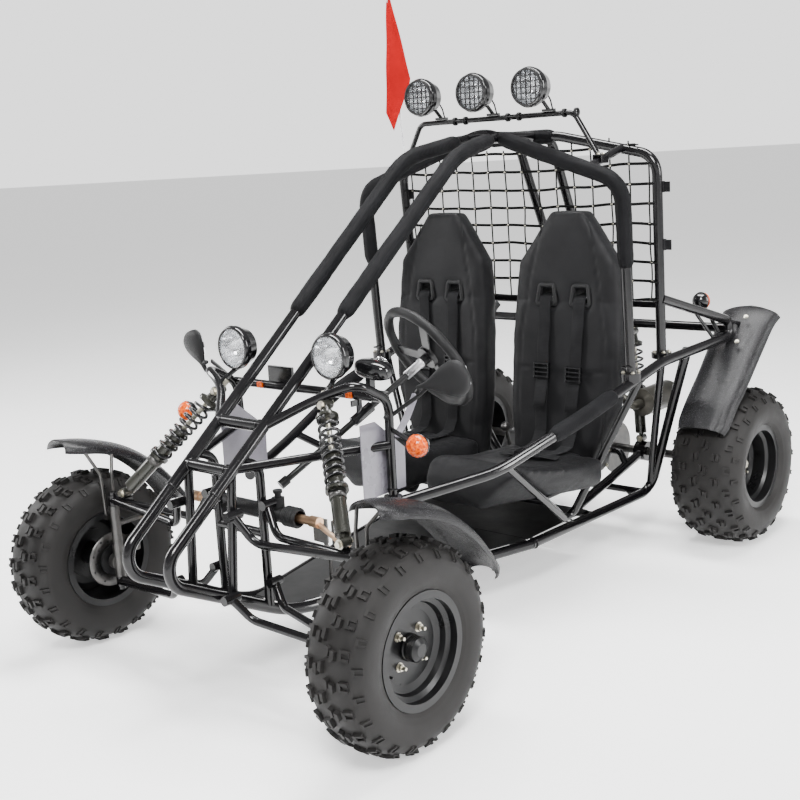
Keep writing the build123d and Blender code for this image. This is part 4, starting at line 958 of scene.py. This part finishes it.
SLEEVE_R = 0.0252
HOOP_CORNER = (0.518, 0.290, 1.262)
HOOP_FOOT = (0.515, 0.324, 0.682)
HOOP_PEAK = (0.0, 0.306, 1.436)
ROOF_FRONT = (0.056, 0.308, 1.418)
KNEE, WAIST, SHOULDER = (0.420, -0.250, 0.490), (0.500, 0.080, 0.590), (0.538, 0.480, 0.690)
BACK_TOP = (0.150, 0.512, 1.410)
bm = bmesh.new()
# Outline points on the left side, bend radius and seed of the wrinkles
SLEEVES = (
    ([on_pillar(0.951), BEND, mixp(BEND, ROOF_FRONT, 0.8)], 0.26, 1.0),
    ([mixp(HOOP_CORNER, HOOP_FOOT, 0.44), HOOP_CORNER, mixp(HOOP_CORNER, HOOP_PEAK, 0.86)], 0.09, 3.0),
    ([mixp(KNEE, WAIST, 0.62), WAIST, mixp(WAIST, SHOULDER, 0.36)], 0.4, 5.0),
)
for s in (1, -1):
    for line, bend, seed in SLEEVES:
        sleeve(bm, rounded([on_side(p, s) for p in line], bend), SLEEVE_R, seed + s)
sleeve(bm, [mixp(BACK_TOP, on_side(BACK_TOP, -1), t / 20) for t in range(1, 20)], SLEEVE_R, 9.0)
pads = added("foam_sleeves", bm, SLEEVE, "chassis")
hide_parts("cage_pads")

# Fenders
def smooth_path(points, n):
    """Points of a smooth curve through the given ones."""
    pts = [Vector(p) for p in points]
    pts = [pts[0] * 2 - pts[1]] + pts + [pts[-1] * 2 - pts[-2]]
    out = []
    for i in range(1, len(pts) - 2):
        a, b, c, d = pts[i - 1:i + 3]
        for k in range(n):
            t = k / n
            out.append(0.5 * (2 * b + (c - a) * t + (2 * a - 5 * b + 4 * c - d) * t * t
                              + (3 * b - 3 * c + d - a) * t ** 3))
    out.append(pts[-2])
    return out


def guard(bm, x0, s, path, half, crown, inner, thick=0.0042, across=26):
    """A moulded guard along the path: half gives its half width, and inner the share of it inboard."""
    pts = smooth_path(path, 10)
    total = len(pts) - 1
    grid = []
    normals = []
    for i, p in enumerate(pts):
        t = (pts[min(i + 1, total)] - pts[max(i - 1, 0)]).normalized()
        n = Vector((0, -t.z, t.y))
        if n.z < 0:
            n = -n
        normals.append(n)
        v = i / total
        w = half(v)
        row = []
        for j in range(across + 1):
            u = -1 + 2 * j / across
            k = abs(u)
            x = w * u * (inner(v) if u < 0 else 1.0)
            drop_ = crown * k ** 2.4 + 0.010 * max(0, (k - 0.9) / 0.1) ** 1.5
            crease = 0.0035 * math.exp(-((u - 0.55) / 0.06) ** 2) * (1 - v)
            row.append(Vector((x0 + x, p.y, p.z)) - n * (drop_ + crease))
        grid.append(row)
    top = [[bm.verts.new((v.x * s, v.y, v.z)) for v in row] for row in grid]
    low = []
    for n, row in zip(normals, grid):
        under = [v - n * thick for v in row]
        low.append([bm.verts.new((v.x * s, v.y, v.z)) for v in under])
    m, k = len(top), len(top[0])
    for i in range(m - 1):
        for j in range(k - 1):
            bm.faces.new((top[i][j], top[i][j + 1], top[i + 1][j + 1], top[i + 1][j]))
            bm.faces.new((low[i][j], low[i + 1][j], low[i + 1][j + 1], low[i][j + 1]))
    for i in range(m - 1):
        bm.faces.new((top[i][0], top[i + 1][0], low[i + 1][0], low[i][0]))
        bm.faces.new((top[i][-1], low[i][-1], low[i + 1][-1], top[i + 1][-1]))
    for j in range(k - 1):
        bm.faces.new((top[0][j], low[0][j], low[0][j + 1], top[0][j + 1]))
        bm.faces.new((top[-1][j], top[-1][j + 1], low[-1][j + 1], low[-1][j]))
    bmesh.ops.recalc_face_normals(bm, faces=bm.faces)


REAR_PATH = [(0, R - 0.254, 0.446), (0, R - 0.190, 0.520), (0, R - 0.094, 0.606), (0, R - 0.006, 0.694),
             (0, R + 0.062, 0.764), (0, R + 0.108, 0.797), (0, R + 0.131, 0.801)]
FRONT_PATH = [(0, A + 0.345, 0.345), (0, A + 0.300, 0.415), (0, A + 0.225, 0.498), (0, A + 0.130, 0.565),
              (0, A + 0.020, 0.606), (0, A - 0.085, 0.627)]


def rear_half(v):
    w = 0.080 + 0.033 * v ** 1.6
    end = max(0, (v - 0.84) / 0.16)
    foot = max(0, (0.08 - v) / 0.08)
    return w * math.sqrt(max(0.2, 1 - 0.8 * end ** 2.4)) * (1 - 0.12 * foot ** 2)


def rear_inner(v):
    return 0.106 / (0.080 + 0.033 * v ** 1.6) if v < 0.84 else 1.0


def front_half(v):
    end = max(0, (v - 0.86) / 0.14, (0.10 - v) / 0.10)
    return 0.075 * math.sqrt(max(0.3, 1 - 0.6 * end ** 2.2))


GUARDS = (("rear", RW[0] + 0.008, REAR_PATH, rear_half, 0.026, rear_inner),
          ("front", FW[0], FRONT_PATH, front_half, 0.022, lambda v: 1.0))
for side, s in SIDES:
    for end, x0, path, half, crown, inner in GUARDS:
        bm = bmesh.new()
        guard(bm, x0, s, path, half, crown, inner)
        ob = added(f"{end}_guard_{side}", bm, FENDER, "chassis" if end == "rear" else "knuckle_" + side)
        ob.modifiers.new("split", "EDGE_SPLIT").split_angle = math.radians(50)
        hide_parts(f"{end}_fender_{side}")

# Pennant
P = [(-0.5535, 1.990), (-0.462, 1.640), (-0.554, 1.464), (-0.587, 1.530)]


def cloth_point(u, v):
    """u runs away from the whip and v down it."""
    top, tip, low, inner = [Vector((x, 0, z)) for x, z in P]
    left = top.lerp(inner, v)
    right = top.lerp(tip, v / 0.62) if v < 0.62 else tip.lerp(low, (v - 0.62) / 0.38)
    p = left.lerp(right, u)
    p.y = 0.5065 + 0.0016 * math.sin(u * 5 + v * 7) * u + 0.0012 * math.sin(v * 17 + u * 2)
    return p


NU, NV = 14, 44
bm = bmesh.new()
grid = [[bm.verts.new(cloth_point(i / NU, 0.004 + 0.992 * j / NV)) for i in range(NU + 1)]
        for j in range(NV + 1)]
for j in range(NV):
    for i in range(NU):
        bm.faces.new((grid[j][i], grid[j][i + 1], grid[j + 1][i + 1], grid[j + 1][i]))
CLOTH_AREA = sum(f.calc_area() for f in bm.faces)
flag = added("pennant_cloth", bm, RED, "chassis")
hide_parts("pennant")

# Turn signals
SIGNAL_R = 0.0300
FRONT_SIGNAL = (0.455, A + 0.278, 0.654)
REAR_SIGNAL = (0.497, R - 0.064, 0.838)
bm = bmesh.new()
bd = bmesh.new()
for s in (1, -1):
    for k, (x, y, z) in enumerate((FRONT_SIGNAL, REAR_SIGNAL)):
        out = Vector((s * 0.2, -1 if k == 0 else 1, 0)).normalized()
        c = Vector((x * s, y, z))
        mm = Matrix.Translation(c) @ basis(out)
        rings = []
        for i in range(13):
            t = math.pi / 2 * i / 12
            ring = []
            for j in range(48):
                a = 2 * math.pi * j / 48
                flute = 1 + 0.018 * math.cos(a * 16) * math.cos(t)
                r = SIGNAL_R * math.cos(t) * flute
                rise = SIGNAL_R * math.sin(t) * 0.98
                ring.append(bm.verts.new(mm @ Vector((r * math.cos(a), r * math.sin(a), rise))))
            rings.append(ring)
        skin(bm, rings)
        bmesh.ops.remove_doubles(bm, verts=bm.verts, dist=1e-6)
        lathe(bd, [(0.0015, 0.0302), (0.0015, 0.031), (-0.003, 0.031), (-0.006, 0.0295), (-0.016, 0.026),
                   (-0.024, 0.019), (-0.030, 0.008), (-0.0305, 0.0)], c, out, 40)
ob = added("signal_lenses", bm, AMBER, "chassis")
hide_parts("turn_signals")
added("signal_housings", bd, GLOSS, "chassis")

# Mirrors
def drop(bm, bg, centre, along, face, length, height, depth):
    """A drop-shaped mirror shell: its neck at the start of along, its pane on the face side."""
    x = Vector(along).normalized()
    n = Vector(face)
    n = (n - x * n.dot(x)).normalized()
    z = x.cross(n)
    outline = [(0.0, 0.10), (0.08, 0.12), (0.17, 0.17), (0.27, 0.30), (0.38, 0.52), (0.5, 0.74), (0.62, 0.91),
               (0.73, 1.0), (0.83, 0.97), (0.91, 0.82), (0.965, 0.58), (0.99, 0.32), (1.0, 0.04)]
    rings = []
    for t, w in outline:
        ring = []
        h = height / 2 * w
        d = depth * (0.35 + 0.65 * w)
        for j in range(28):
            a = 2 * math.pi * j / 28
            out_ = math.sin(a)
            ring.append(bm.verts.new(Vector(centre) + x * (t - 0.55) * length + z * h * math.cos(a)
                                     - n * d * out_ * (0.62 if out_ > 0 else 0.2)))
        rings.append(ring)
    skin(bm, rings)
    bm.faces.new(list(reversed(rings[0])))
    bm.faces.new(rings[-1])
    bmesh.ops.recalc_face_normals(bm, faces=bm.faces)
    inner = [p for p in outline if p[0] > 0.3]
    loop = [(t, w * 0.86) for t, w in inner] + [(t, -w * 0.86) for t, w in reversed(inner)]
    top = [bg.verts.new(Vector(centre) + x * (min(t, 0.97) - 0.55) * length + z * height / 2 * w
                        + n * depth * 0.215) for t, w in loop]
    low = [bg.verts.new(v.co - n * depth * 0.1) for v in top]
    bg.faces.new(top)
    for j in range(len(top)):
        q = (j + 1) % len(top)
        bg.faces.new((top[j], low[j], low[q], top[q]))


bm = bmesh.new()
bg = bmesh.new()
drop(bm, bg, (0.484, A + 0.364, 0.808), (0.93, 0.26, 0.24), (-0.25, 1, 0.05), 0.154, 0.098, 0.032)
drop(bm, bg, (-0.487, A + 0.362, 0.826), (-0.40, -0.05, 0.8), (0.15, 1, 0.05), 0.138, 0.108, 0.032)
bmesh.ops.recalc_face_normals(bg, faces=bg.faces)
ob = added("mirror_shells", bm, HARD, "chassis", sub=1)
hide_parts("mirrors")
added("mirror_panes", bg, MIRROR, "chassis", smooth=False)
bm = bmesh.new()
stalk = [(-0.440, A + 0.356, 0.792), (-0.452, A + 0.36, 0.79), (-0.459, A + 0.360, 0.788)]
pipe(bm, rounded(stalk, 0.005), 0.0062, 12)
pipe(bm, [(0.398, A + 0.352, 0.772), (0.420, A + 0.346, 0.790)], 0.0066, 12)
for s in (1, -1):
    bolt(bm, (0.302 * s, A + 0.350 - 0.0135, 0.70), (0, -1, 0), 0.006, 0.006)
added("mirror_stalks", bm, SATIN, "chassis")

# Lamps
bm = bmesh.new()
bd = bmesh.new()
LAMPS = [((0.188 * s, A + 0.244, 0.868), 0.062, 0.076) for s in (1, -1)]
LAMPS += [((x, 0.336 - 0.084, 1.559), 0.060, 0.084) for x in (-0.216, 0.0, 0.216)]
for (x, y, z), r, d in LAMPS:
    inner = [(-0.0050, r - 0.0085), (-d * 0.28, r - 0.0135), (-d * 0.5, r * 0.70), (-d * 0.68, r * 0.44),
             (-d * 0.76, r * 0.22), (-d * 0.755, 0.0)]
    lathe(bm, inner, (x, y, z), (0, -1, 0), 48)
    bulb = [(-d * 0.74, 0.0), (-d * 0.74, 0.008), (-d * 0.45, 0.008), (-d * 0.38, 0.005), (-d * 0.36, 0.0)]
    lathe(bd, bulb, (x, y, z), (0, -1, 0), 20)
    for k in range(7):
        h = -0.8 + 1.6 * k / 6
        c = math.sqrt(1 - h * h) * (r - 0.011)
        rib = z + h * (r - 0.011)
        box_at(bd, (x - c, y + 0.0035, rib - 0.0006), (x + c, y + 0.0042, rib + 0.0006))
added("lamp_reflectors", bm, REFLECT, "chassis")
added("lamp_bulbs", bd, CLEAR, "chassis")
bm = bmesh.new()
for (x, y, z), r, d in LAMPS:
    lathe(bm, [(-0.010, r + 0.0003), (-0.008, r + 0.0018), (-0.001, r - 0.002), (0.0012, r - 0.0035),
               (0.0012, r - 0.008), (-0.001, r - 0.0082)], (x, y, z), (0, -1, 0), 48)
added("lamp_bezels", bm, GLOSS, "chassis")

# Clipped wires and the feet of the roof bar
bm = bmesh.new()
for x in (-0.216, 0.0, 0.216):
    run = [(x + 0.012, 0.334, 1.548), (x + 0.018, 0.350, 1.520), (x + 0.020, 0.3575, 1.492),
           (x + 0.034, 0.3570, 1.480), (x + 0.060, 0.3556, 1.478), (x + 0.110, 0.3556, 1.477)]
    pipe(bm, rounded(run, 0.012, 0.4), 0.0026, 8)
    for dx in (0.060, 0.104):
        band(bm, -0.004, 0.004, 0.0086, 0.0135, (x + dx, 0.3635, 1.477), (1, 0, 0), 20)
added("roof_wires", bm, SOFT, "chassis")
bm = bmesh.new()
for s in (1, -1):
    for dy in (-0.013, 0.013):
        bolt(bm, (0.395 * s, 0.374 + dy, 1.3455), (0, 0, 1), 0.0042, 0.004)
added("bar_foot_bolts", bm, ZINC, "chassis", smooth=False)
bm = bmesh.new()
for s in (1, -1):
    box_at(bm, (0.395 * s - 0.0145, 0.352, 1.3405), (0.395 * s + 0.0145, 0.396, 1.3455))
    for dx in (-0.0165, 0.0125):
        box_at(bm, (0.395 * s + dx, 0.354, 1.318), (0.395 * s + dx + 0.004, 0.394, 1.3440))
added("bar_feet", bm, PAINT, "chassis", smooth=False, bevel=0.001)

# Welds and bolts on the frame
bm = bmesh.new()
up = Vector(BEND) - Vector(NOSE)
# Place on the left side, direction, tube radius and bead of each weld
WELDS = [(on_pillar(0.560), (up.x, up.y, up.z), 0.016, 0.0026),
         ((0.2945, 0.090, 0.160), (0.03, 1, 0), 0.016, 0.0026),
         (mixp(KNEE, WAIST, 0.13), (0.08, 0.33, 0.1), 0.0132, 0.002)]
for z in (0.702, 0.608):
    p = on_pillar(z)
    WELDS.append(((p[0] - 0.0165, p[1], p[2]), (1, 0, 0), 0.016, 0.0022))
WELDS += [((0.296, A + 0.351, 0.498), (0, 0.1, 1), 0.0128, 0.002),
          ((0.313, 0.262, 0.1895), (0, 0, 1), 0.0132, 0.002),
          ((0.390, 0.293 + 0.017, 1.309), (0, 1, 0.27), 0.0128, 0.002),
          ((0.5115, 0.305, 0.7), (0, 0, 1), 0.0162, 0.002)]
for s in (1, -1):
    for at, direction, radius, bead in WELDS:
        weld(bm, on_side(at, s), on_side(direction, s), radius, bead)
added("weld_beads", bm, PAINT, "chassis")
bm = bmesh.new()
for s in (1, -1):
    for (fx, fy), z in (((0.515, 0.325), 0.6812), ((0.506, 0.535), 0.7112)):
        for a in (45, 135, 225, 315):
            ang = math.radians(a)
            at = (fx * s + 0.024 * math.cos(ang), fy + 0.024 * math.sin(ang), z)
            bolt(bm, at, (0, 0, 1), 0.0045, 0.0045)
    for y, z in ((R + 0.04, 0.775), (R - 0.03, 0.70)):
        bolt(bm, ((RW[0] + 0.03) * s, y, z), (0, -0.6, 0.8), 0.005, 0.004)
added("frame_bolts", bm, ZINC, "chassis", smooth=False)

# Cargo net
NET_LOW, NET_TOP = Vector((0, 0.522, 0.860)), Vector((0, 0.506, 1.410))
NET_UP = (NET_TOP - NET_LOW).normalized()
NET_OUT = Vector((1, 0, 0)).cross(NET_UP)


def net_point(x, h):
    """A place on the net, a little slack between its ties."""
    slack = Vector((x * 9, h * 9, 2.5))
    dx = 0.006 * noise.noise(slack)
    dh = 0.007 * noise.noise(slack + Vector((5, 3, 0))) - 0.007 * math.cos(x * 3.0)
    bow = 0.010 * math.cos(x * 3.0) * math.sin(math.pi * min(h / 0.53, 1))
    return NET_LOW + NET_UP * (h + dh) + Vector((x + dx, 0, 0)) + NET_OUT * -bow


NET_X, NET_Z, NET_FOOT = 0.069, 0.061, 0.020


def net_half(h):
    return 0.499 - max(0, h - 0.47) * 1.6


RIVET = [(0.0014, 0.0), (0.0014, 0.0045), (0.0030, 0.0040), (0.0036, 0.0)]
bm = bmesh.new()
knots = bmesh.new()
for i in range(-7, 8):
    x = NET_X * i
    top = 0.538 if abs(x) > 0.17 else 0.520
    while abs(x) > net_half(top):
        top -= 0.004
    pipe(bm, [net_point(x, 0.004 + (top - 0.004) * k / 28) for k in range(29)], 0.0046, 6, shape=(0.55, 1))
for j in range(9):
    h = NET_FOOT + NET_Z * j
    half = net_half(h)
    pipe(bm, [net_point(-half + 2 * half * k / 40, h) for k in range(41)], 0.0046, 6, shape=(1, 0.55))
    for i in range(-7, 8):
        x = NET_X * i
        if abs(x) < half and not (h > 0.515 and abs(x) < 0.17):
            for d in (-1, 1):
                lathe(knots, RIVET, net_point(x, h), (0, d, 0), 10)
    for sx in (1, -1):
        tie = net_point(half * sx, h)
        loop = [(math.sin(a / 8 * 6.283), math.cos(a / 8 * 6.283)) for a in range(8)]
        pipe(bm, [tie + Vector((0.016 * u * sx * 0.9, 0.016 * v - 0.012, 0)) for u, v in loop], 0.0022, 6,
             closed=True)
net = added("net_straps", bm, NETTING, "chassis")
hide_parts("cargo_net")
added("net_rivets", knots, ZINC, "chassis")

# Wrapped straps on the rear hoop posts
bm = bmesh.new()
for s in (1, -1):
    for z in (1.235, 1.055):
        y = 0.536 - (z - 0.711) * 0.028
        lathe(bm, [(-0.017, 0.0162), (-0.017, 0.0192), (0.017, 0.0196), (0.017, 0.0162)], (0.512 * s, y, z),
              (0, -0.03, 1), 28, closed=True)
        box_at(bm, (0.524 * s - 0.004, y - 0.002, z - 0.016), (0.546 * s + 0.004, y + 0.003, z + 0.016))
added("hoop_straps", bm, WEB, "chassis", smooth=False, bevel=0.0008)

# Engine and drive trim
bm = bmesh.new()
for y, z in ((0.48, 0.30), (0.50, 0.345), (0.50, 0.255), (0.60, 0.365), (0.60, 0.235), (0.72, 0.35),
             (0.72, 0.25), (0.742, 0.30)):
    bolt(bm, (0.1803, y, z), (1, 0, 0), 0.0045, 0.004)
for x, y in ((-0.03, 0.585), (0.05, 0.585), (-0.03, 0.655), (0.05, 0.655)):
    bolt(bm, (x, y, 0.5203), (0, 0, 1), 0.006, 0.006)
added("engine_bolts", bm, ZINC, "chassis", smooth=False)
bm = bmesh.new()
cap = [(0, 0.0), (0, 0.009), (0.012, 0.009), (0.014, 0.012), (0.03, 0.012), (0.034, 0.008), (0.046, 0.008),
       (0.046, 0.0)]
lathe(bm, cap, (0.0682, 0.62, 0.5), (1, 0, 0.25), 20)
added("plug_cap", bm, HARD, "chassis")

# Instrument pod and panels
DASH_Y, DASH_Z = A + 0.344, 0.748
bm = bmesh.new()
rings = []
for i in range(17):
    h = -1 + 2 * i / 16
    k = max(0.0, 1 - abs(h) ** 3.0) ** (1 / 2.4)
    ring = []
    for j in range(48):
        a = 2 * math.pi * j / 48
        ca, sa = math.cos(a), math.sin(a)
        sx = math.copysign(abs(ca) ** 0.75, ca) * 0.058 * max(k, 0.02)
        sy = math.copysign(abs(sa) ** 0.75, sa) * 0.034 * max(k, 0.02)
        sz = 0.027 * h - 0.006 * (sx / 0.058)
        ring.append(bm.verts.new((0.250 + sx, DASH_Y + 0.010 + sy, DASH_Z + 0.074 + sz)))
    rings.append(ring)
skin(bm, rings)
bm.faces.new(list(reversed(rings[0])))
bm.faces.new(rings[-1])
box_at(bm, (0.236, DASH_Y - 0.010, DASH_Z + 0.0135), (0.252, DASH_Y + 0.010, DASH_Z + 0.052))
box_at(bm, (0.222, DASH_Y - 0.016, DASH_Z + 0.0125), (0.292, DASH_Y + 0.016, DASH_Z + 0.0165))
SLEEVE_MID = Vector((0.100, A + 0.114, 0.533)).lerp(Vector((0.255, A + 0.574, 0.819)), 0.55)
SLEEVE_AXIS = Vector((0.155, 0.460, 0.286))
band(bm, -0.035, 0.035, 0.0108, 0.015, SLEEVE_MID, SLEEVE_AXIS, 32)
hx = SLEEVE_MID.x
box_at(bm, (hx - 0.003, DASH_Y + 0.004, SLEEVE_MID.z + 0.006), (hx + 0.003, DASH_Y + 0.022, DASH_Z + 0.006))
box_at(bm, (hx - 0.003, DASH_Y - 0.018, DASH_Z - 0.030), (hx + 0.003, DASH_Y + 0.010, DASH_Z - 0.0135))
for x0, x1, z1 in ((-0.150, -0.052, 0.058), (-0.146, -0.056, 0.054)):
    y1 = 0.0045 if z1 > 0.055 else 0.0062
    box_at(bm, (x0, DASH_Y - y1, DASH_Z + 0.0128 + (0.058 - z1)), (x1, DASH_Y + y1, DASH_Z + z1))
bo = bmesh.new()
for s in (1, -1):
    x = 0.176 * s
    box_at(bo, (x - 0.011, DASH_Y - 0.019, DASH_Z - 0.008), (x + 0.011, DASH_Y - 0.0125, DASH_Z + 0.010))
added("dash_reflectors", bo, AMBER, "chassis", smooth=False, bevel=0.0015)
pod = added("dash_pod", bm, GLOSS, "chassis")
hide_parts("dash")
pod.modifiers.new("split", "EDGE_SPLIT").split_angle = math.radians(40)
bm = bmesh.new()
lathe(bm, [(0.0, 0.0), (0.002, 0.026), (0.0045, 0.026), (0.0045, 0.023), (0.003, 0.022), (0.003, 0.0)],
      (0.252, DASH_Y + 0.040, DASH_Z + 0.078), (0, 1, 0.3), 40)
added("dash_dial", bm, CHROME, "chassis")

# Steering wheel trim
HUB = Vector((0.255, A + 0.574, 0.819))
COL = (HUB - Vector((0.100, A + 0.114, 0.533))).normalized()
bm = bmesh.new()
lathe(bm, [(0.0072, 0.0), (0.0095, 0.0), (0.0095, 0.016), (0.0072, 0.02)], HUB, COL, 32)
for k in range(3):
    x = Vector((1, 0, -COL.x / COL.z)).normalized()
    y = COL.cross(x)
    a = math.radians(30 + 120 * k)
    p = HUB + (x * math.cos(a) + y * math.sin(a)) * 0.026 + COL * 0.0071
    bolt(bm, p, COL, 0.0032, 0.003)
added("wheel_centre", bm, SATIN, "steering_wheel")
bm = bmesh.new()
across = Vector((1, 0, -COL.x / COL.z)).normalized()
down = COL.cross(across)
GRIP_RING = 0.157
angles = [math.pi * k / 48 for k in range(96)]
ring = [HUB + (across * math.cos(a) + down * math.sin(a)) * GRIP_RING for a in angles]
pipe(bm, ring, lambda i, n, a: 0.0138 + 0.0006 * math.sin(a * 2 + i * 0.8), 20, closed=True)
grip = added("wheel_grip", bm, SOFT, "steering_wheel")
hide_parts("steering_rim")
bm = bmesh.new()
lathe(bm, [(-0.085, 0.0092), (-0.085, 0.0125), (-0.035, 0.0125), (-0.033, 0.0145), (-0.018, 0.0145),
           (-0.018, 0.0092)], HUB, COL, 32)
added("column_sleeve", bm, STEEL, "steering_wheel")
bm = bmesh.new()
a0, a1 = Vector((0.306, A + 0.362, 0.640)), Vector((0.262, A + 0.505, 0.728))
ribbon(bm, rounded([a0, a0.lerp(a1, 0.5) + Vector((0, 0, -0.012)), a1], 0.09, 0.1), 0.022, 0.004, (1, 0.2, 0))
added("column_brace", bm, PALE, "chassis", smooth=False)

# Floor, light, camera
bpy.ops.mesh.primitive_plane_add(size=400, location=(0, 0, 0))
ground = bpy.context.object
ground.name = "floor"
m, nt, b = tree("floor_white")
vec = coords(nt)
nt.links.new(ramp(nt, noise_tex(nt, vec, 0.6, 3), [(0.3, (0.86, 0.86, 0.86)), (0.7, (0.9, 0.9, 0.9))]),
             b.inputs["Base Color"])
b.inputs["Roughness"].default_value = 0.85
b.inputs["Emission Color"].default_value = (1, 1, 1, 1)
b.inputs["Emission Strength"].default_value = 0.6
ground.data.materials.append(m)

world = bpy.data.worlds.new("studio")
bpy.context.scene.world = world
world.use_nodes = True
wt = world.node_tree
bg = wt.nodes["Background"]
tc = wt.nodes.new("ShaderNodeTexCoord")
sep = wt.nodes.new("ShaderNodeSeparateXYZ")
wt.links.new(tc.outputs["Generated"], sep.inputs["Vector"])
below, horizon, above = 0.5, 1.9, 0.45
wt.links.new(ramp(wt, ranged(wt, sep.outputs["Z"], 0, 1, -1, 1), [
    (0.0, (below / horizon,) * 3), (0.44, (below / horizon,) * 3), (0.46, (1, 1, 1)), (0.58, (1, 1, 1)),
    (0.64, (above / horizon,) * 3), (1.0, (above / horizon,) * 3)]), bg.inputs["Color"])
bg.inputs["Strength"].default_value = horizon


def area(name, at, look, size, power):
    d = bpy.data.lights.new(name, "AREA")
    d.shape = "RECTANGLE"
    d.size, d.size_y = size
    d.energy = power
    o = bpy.data.objects.new(name, d)
    bpy.context.scene.collection.objects.link(o)
    o.location = at
    o.rotation_euler = (Vector(look) - Vector(at)).to_track_quat("-Z", "Y").to_euler()
    return o


lights = [area("key", (2.5, -3.5, 4.5), (0, 0, 0.6), (1.6, 1.6), 480),
          area("left", (5.0, 1.0, 2.4), (0, 0.2, 0.6), (0.7, 3.0), 260),
          area("right", (-4.5, -2.0, 2.6), (0, 0, 0.6), (0.7, 3.0), 240),
          area("top", (0, 0.5, 5.0), (0, 0, 0), (4, 1.2), 520)]

EYE = Vector((2.3467, -2.8272, 1.3688))
FOCAL_PX, FRAME_PX = 1182.14, 800
yaw, pitch, roll = 0.7221, 0.1908, -0.0563
fwd = Vector((-math.sin(yaw) * math.cos(pitch), math.cos(yaw) * math.cos(pitch), -math.sin(pitch)))
right = Vector((math.cos(yaw), math.sin(yaw), 0))
upv = right.cross(fwd)
r2 = right * math.cos(roll) + upv * math.sin(roll)
u2 = -right * math.sin(roll) + upv * math.cos(roll)
cd = bpy.data.cameras.new("camera")
cam = bpy.data.objects.new("camera", cd)
bpy.context.scene.collection.objects.link(cam)
cam.matrix_world = Matrix.Translation(EYE) @ Matrix((r2, u2, -fwd)).transposed().to_4x4()
cd.sensor_width = 36
cd.lens = FOCAL_PX * cd.sensor_width / FRAME_PX
cd.shift_x = -0.0014
cd.shift_y = -0.0171
cd.clip_end = 200
bpy.context.scene.camera = cam
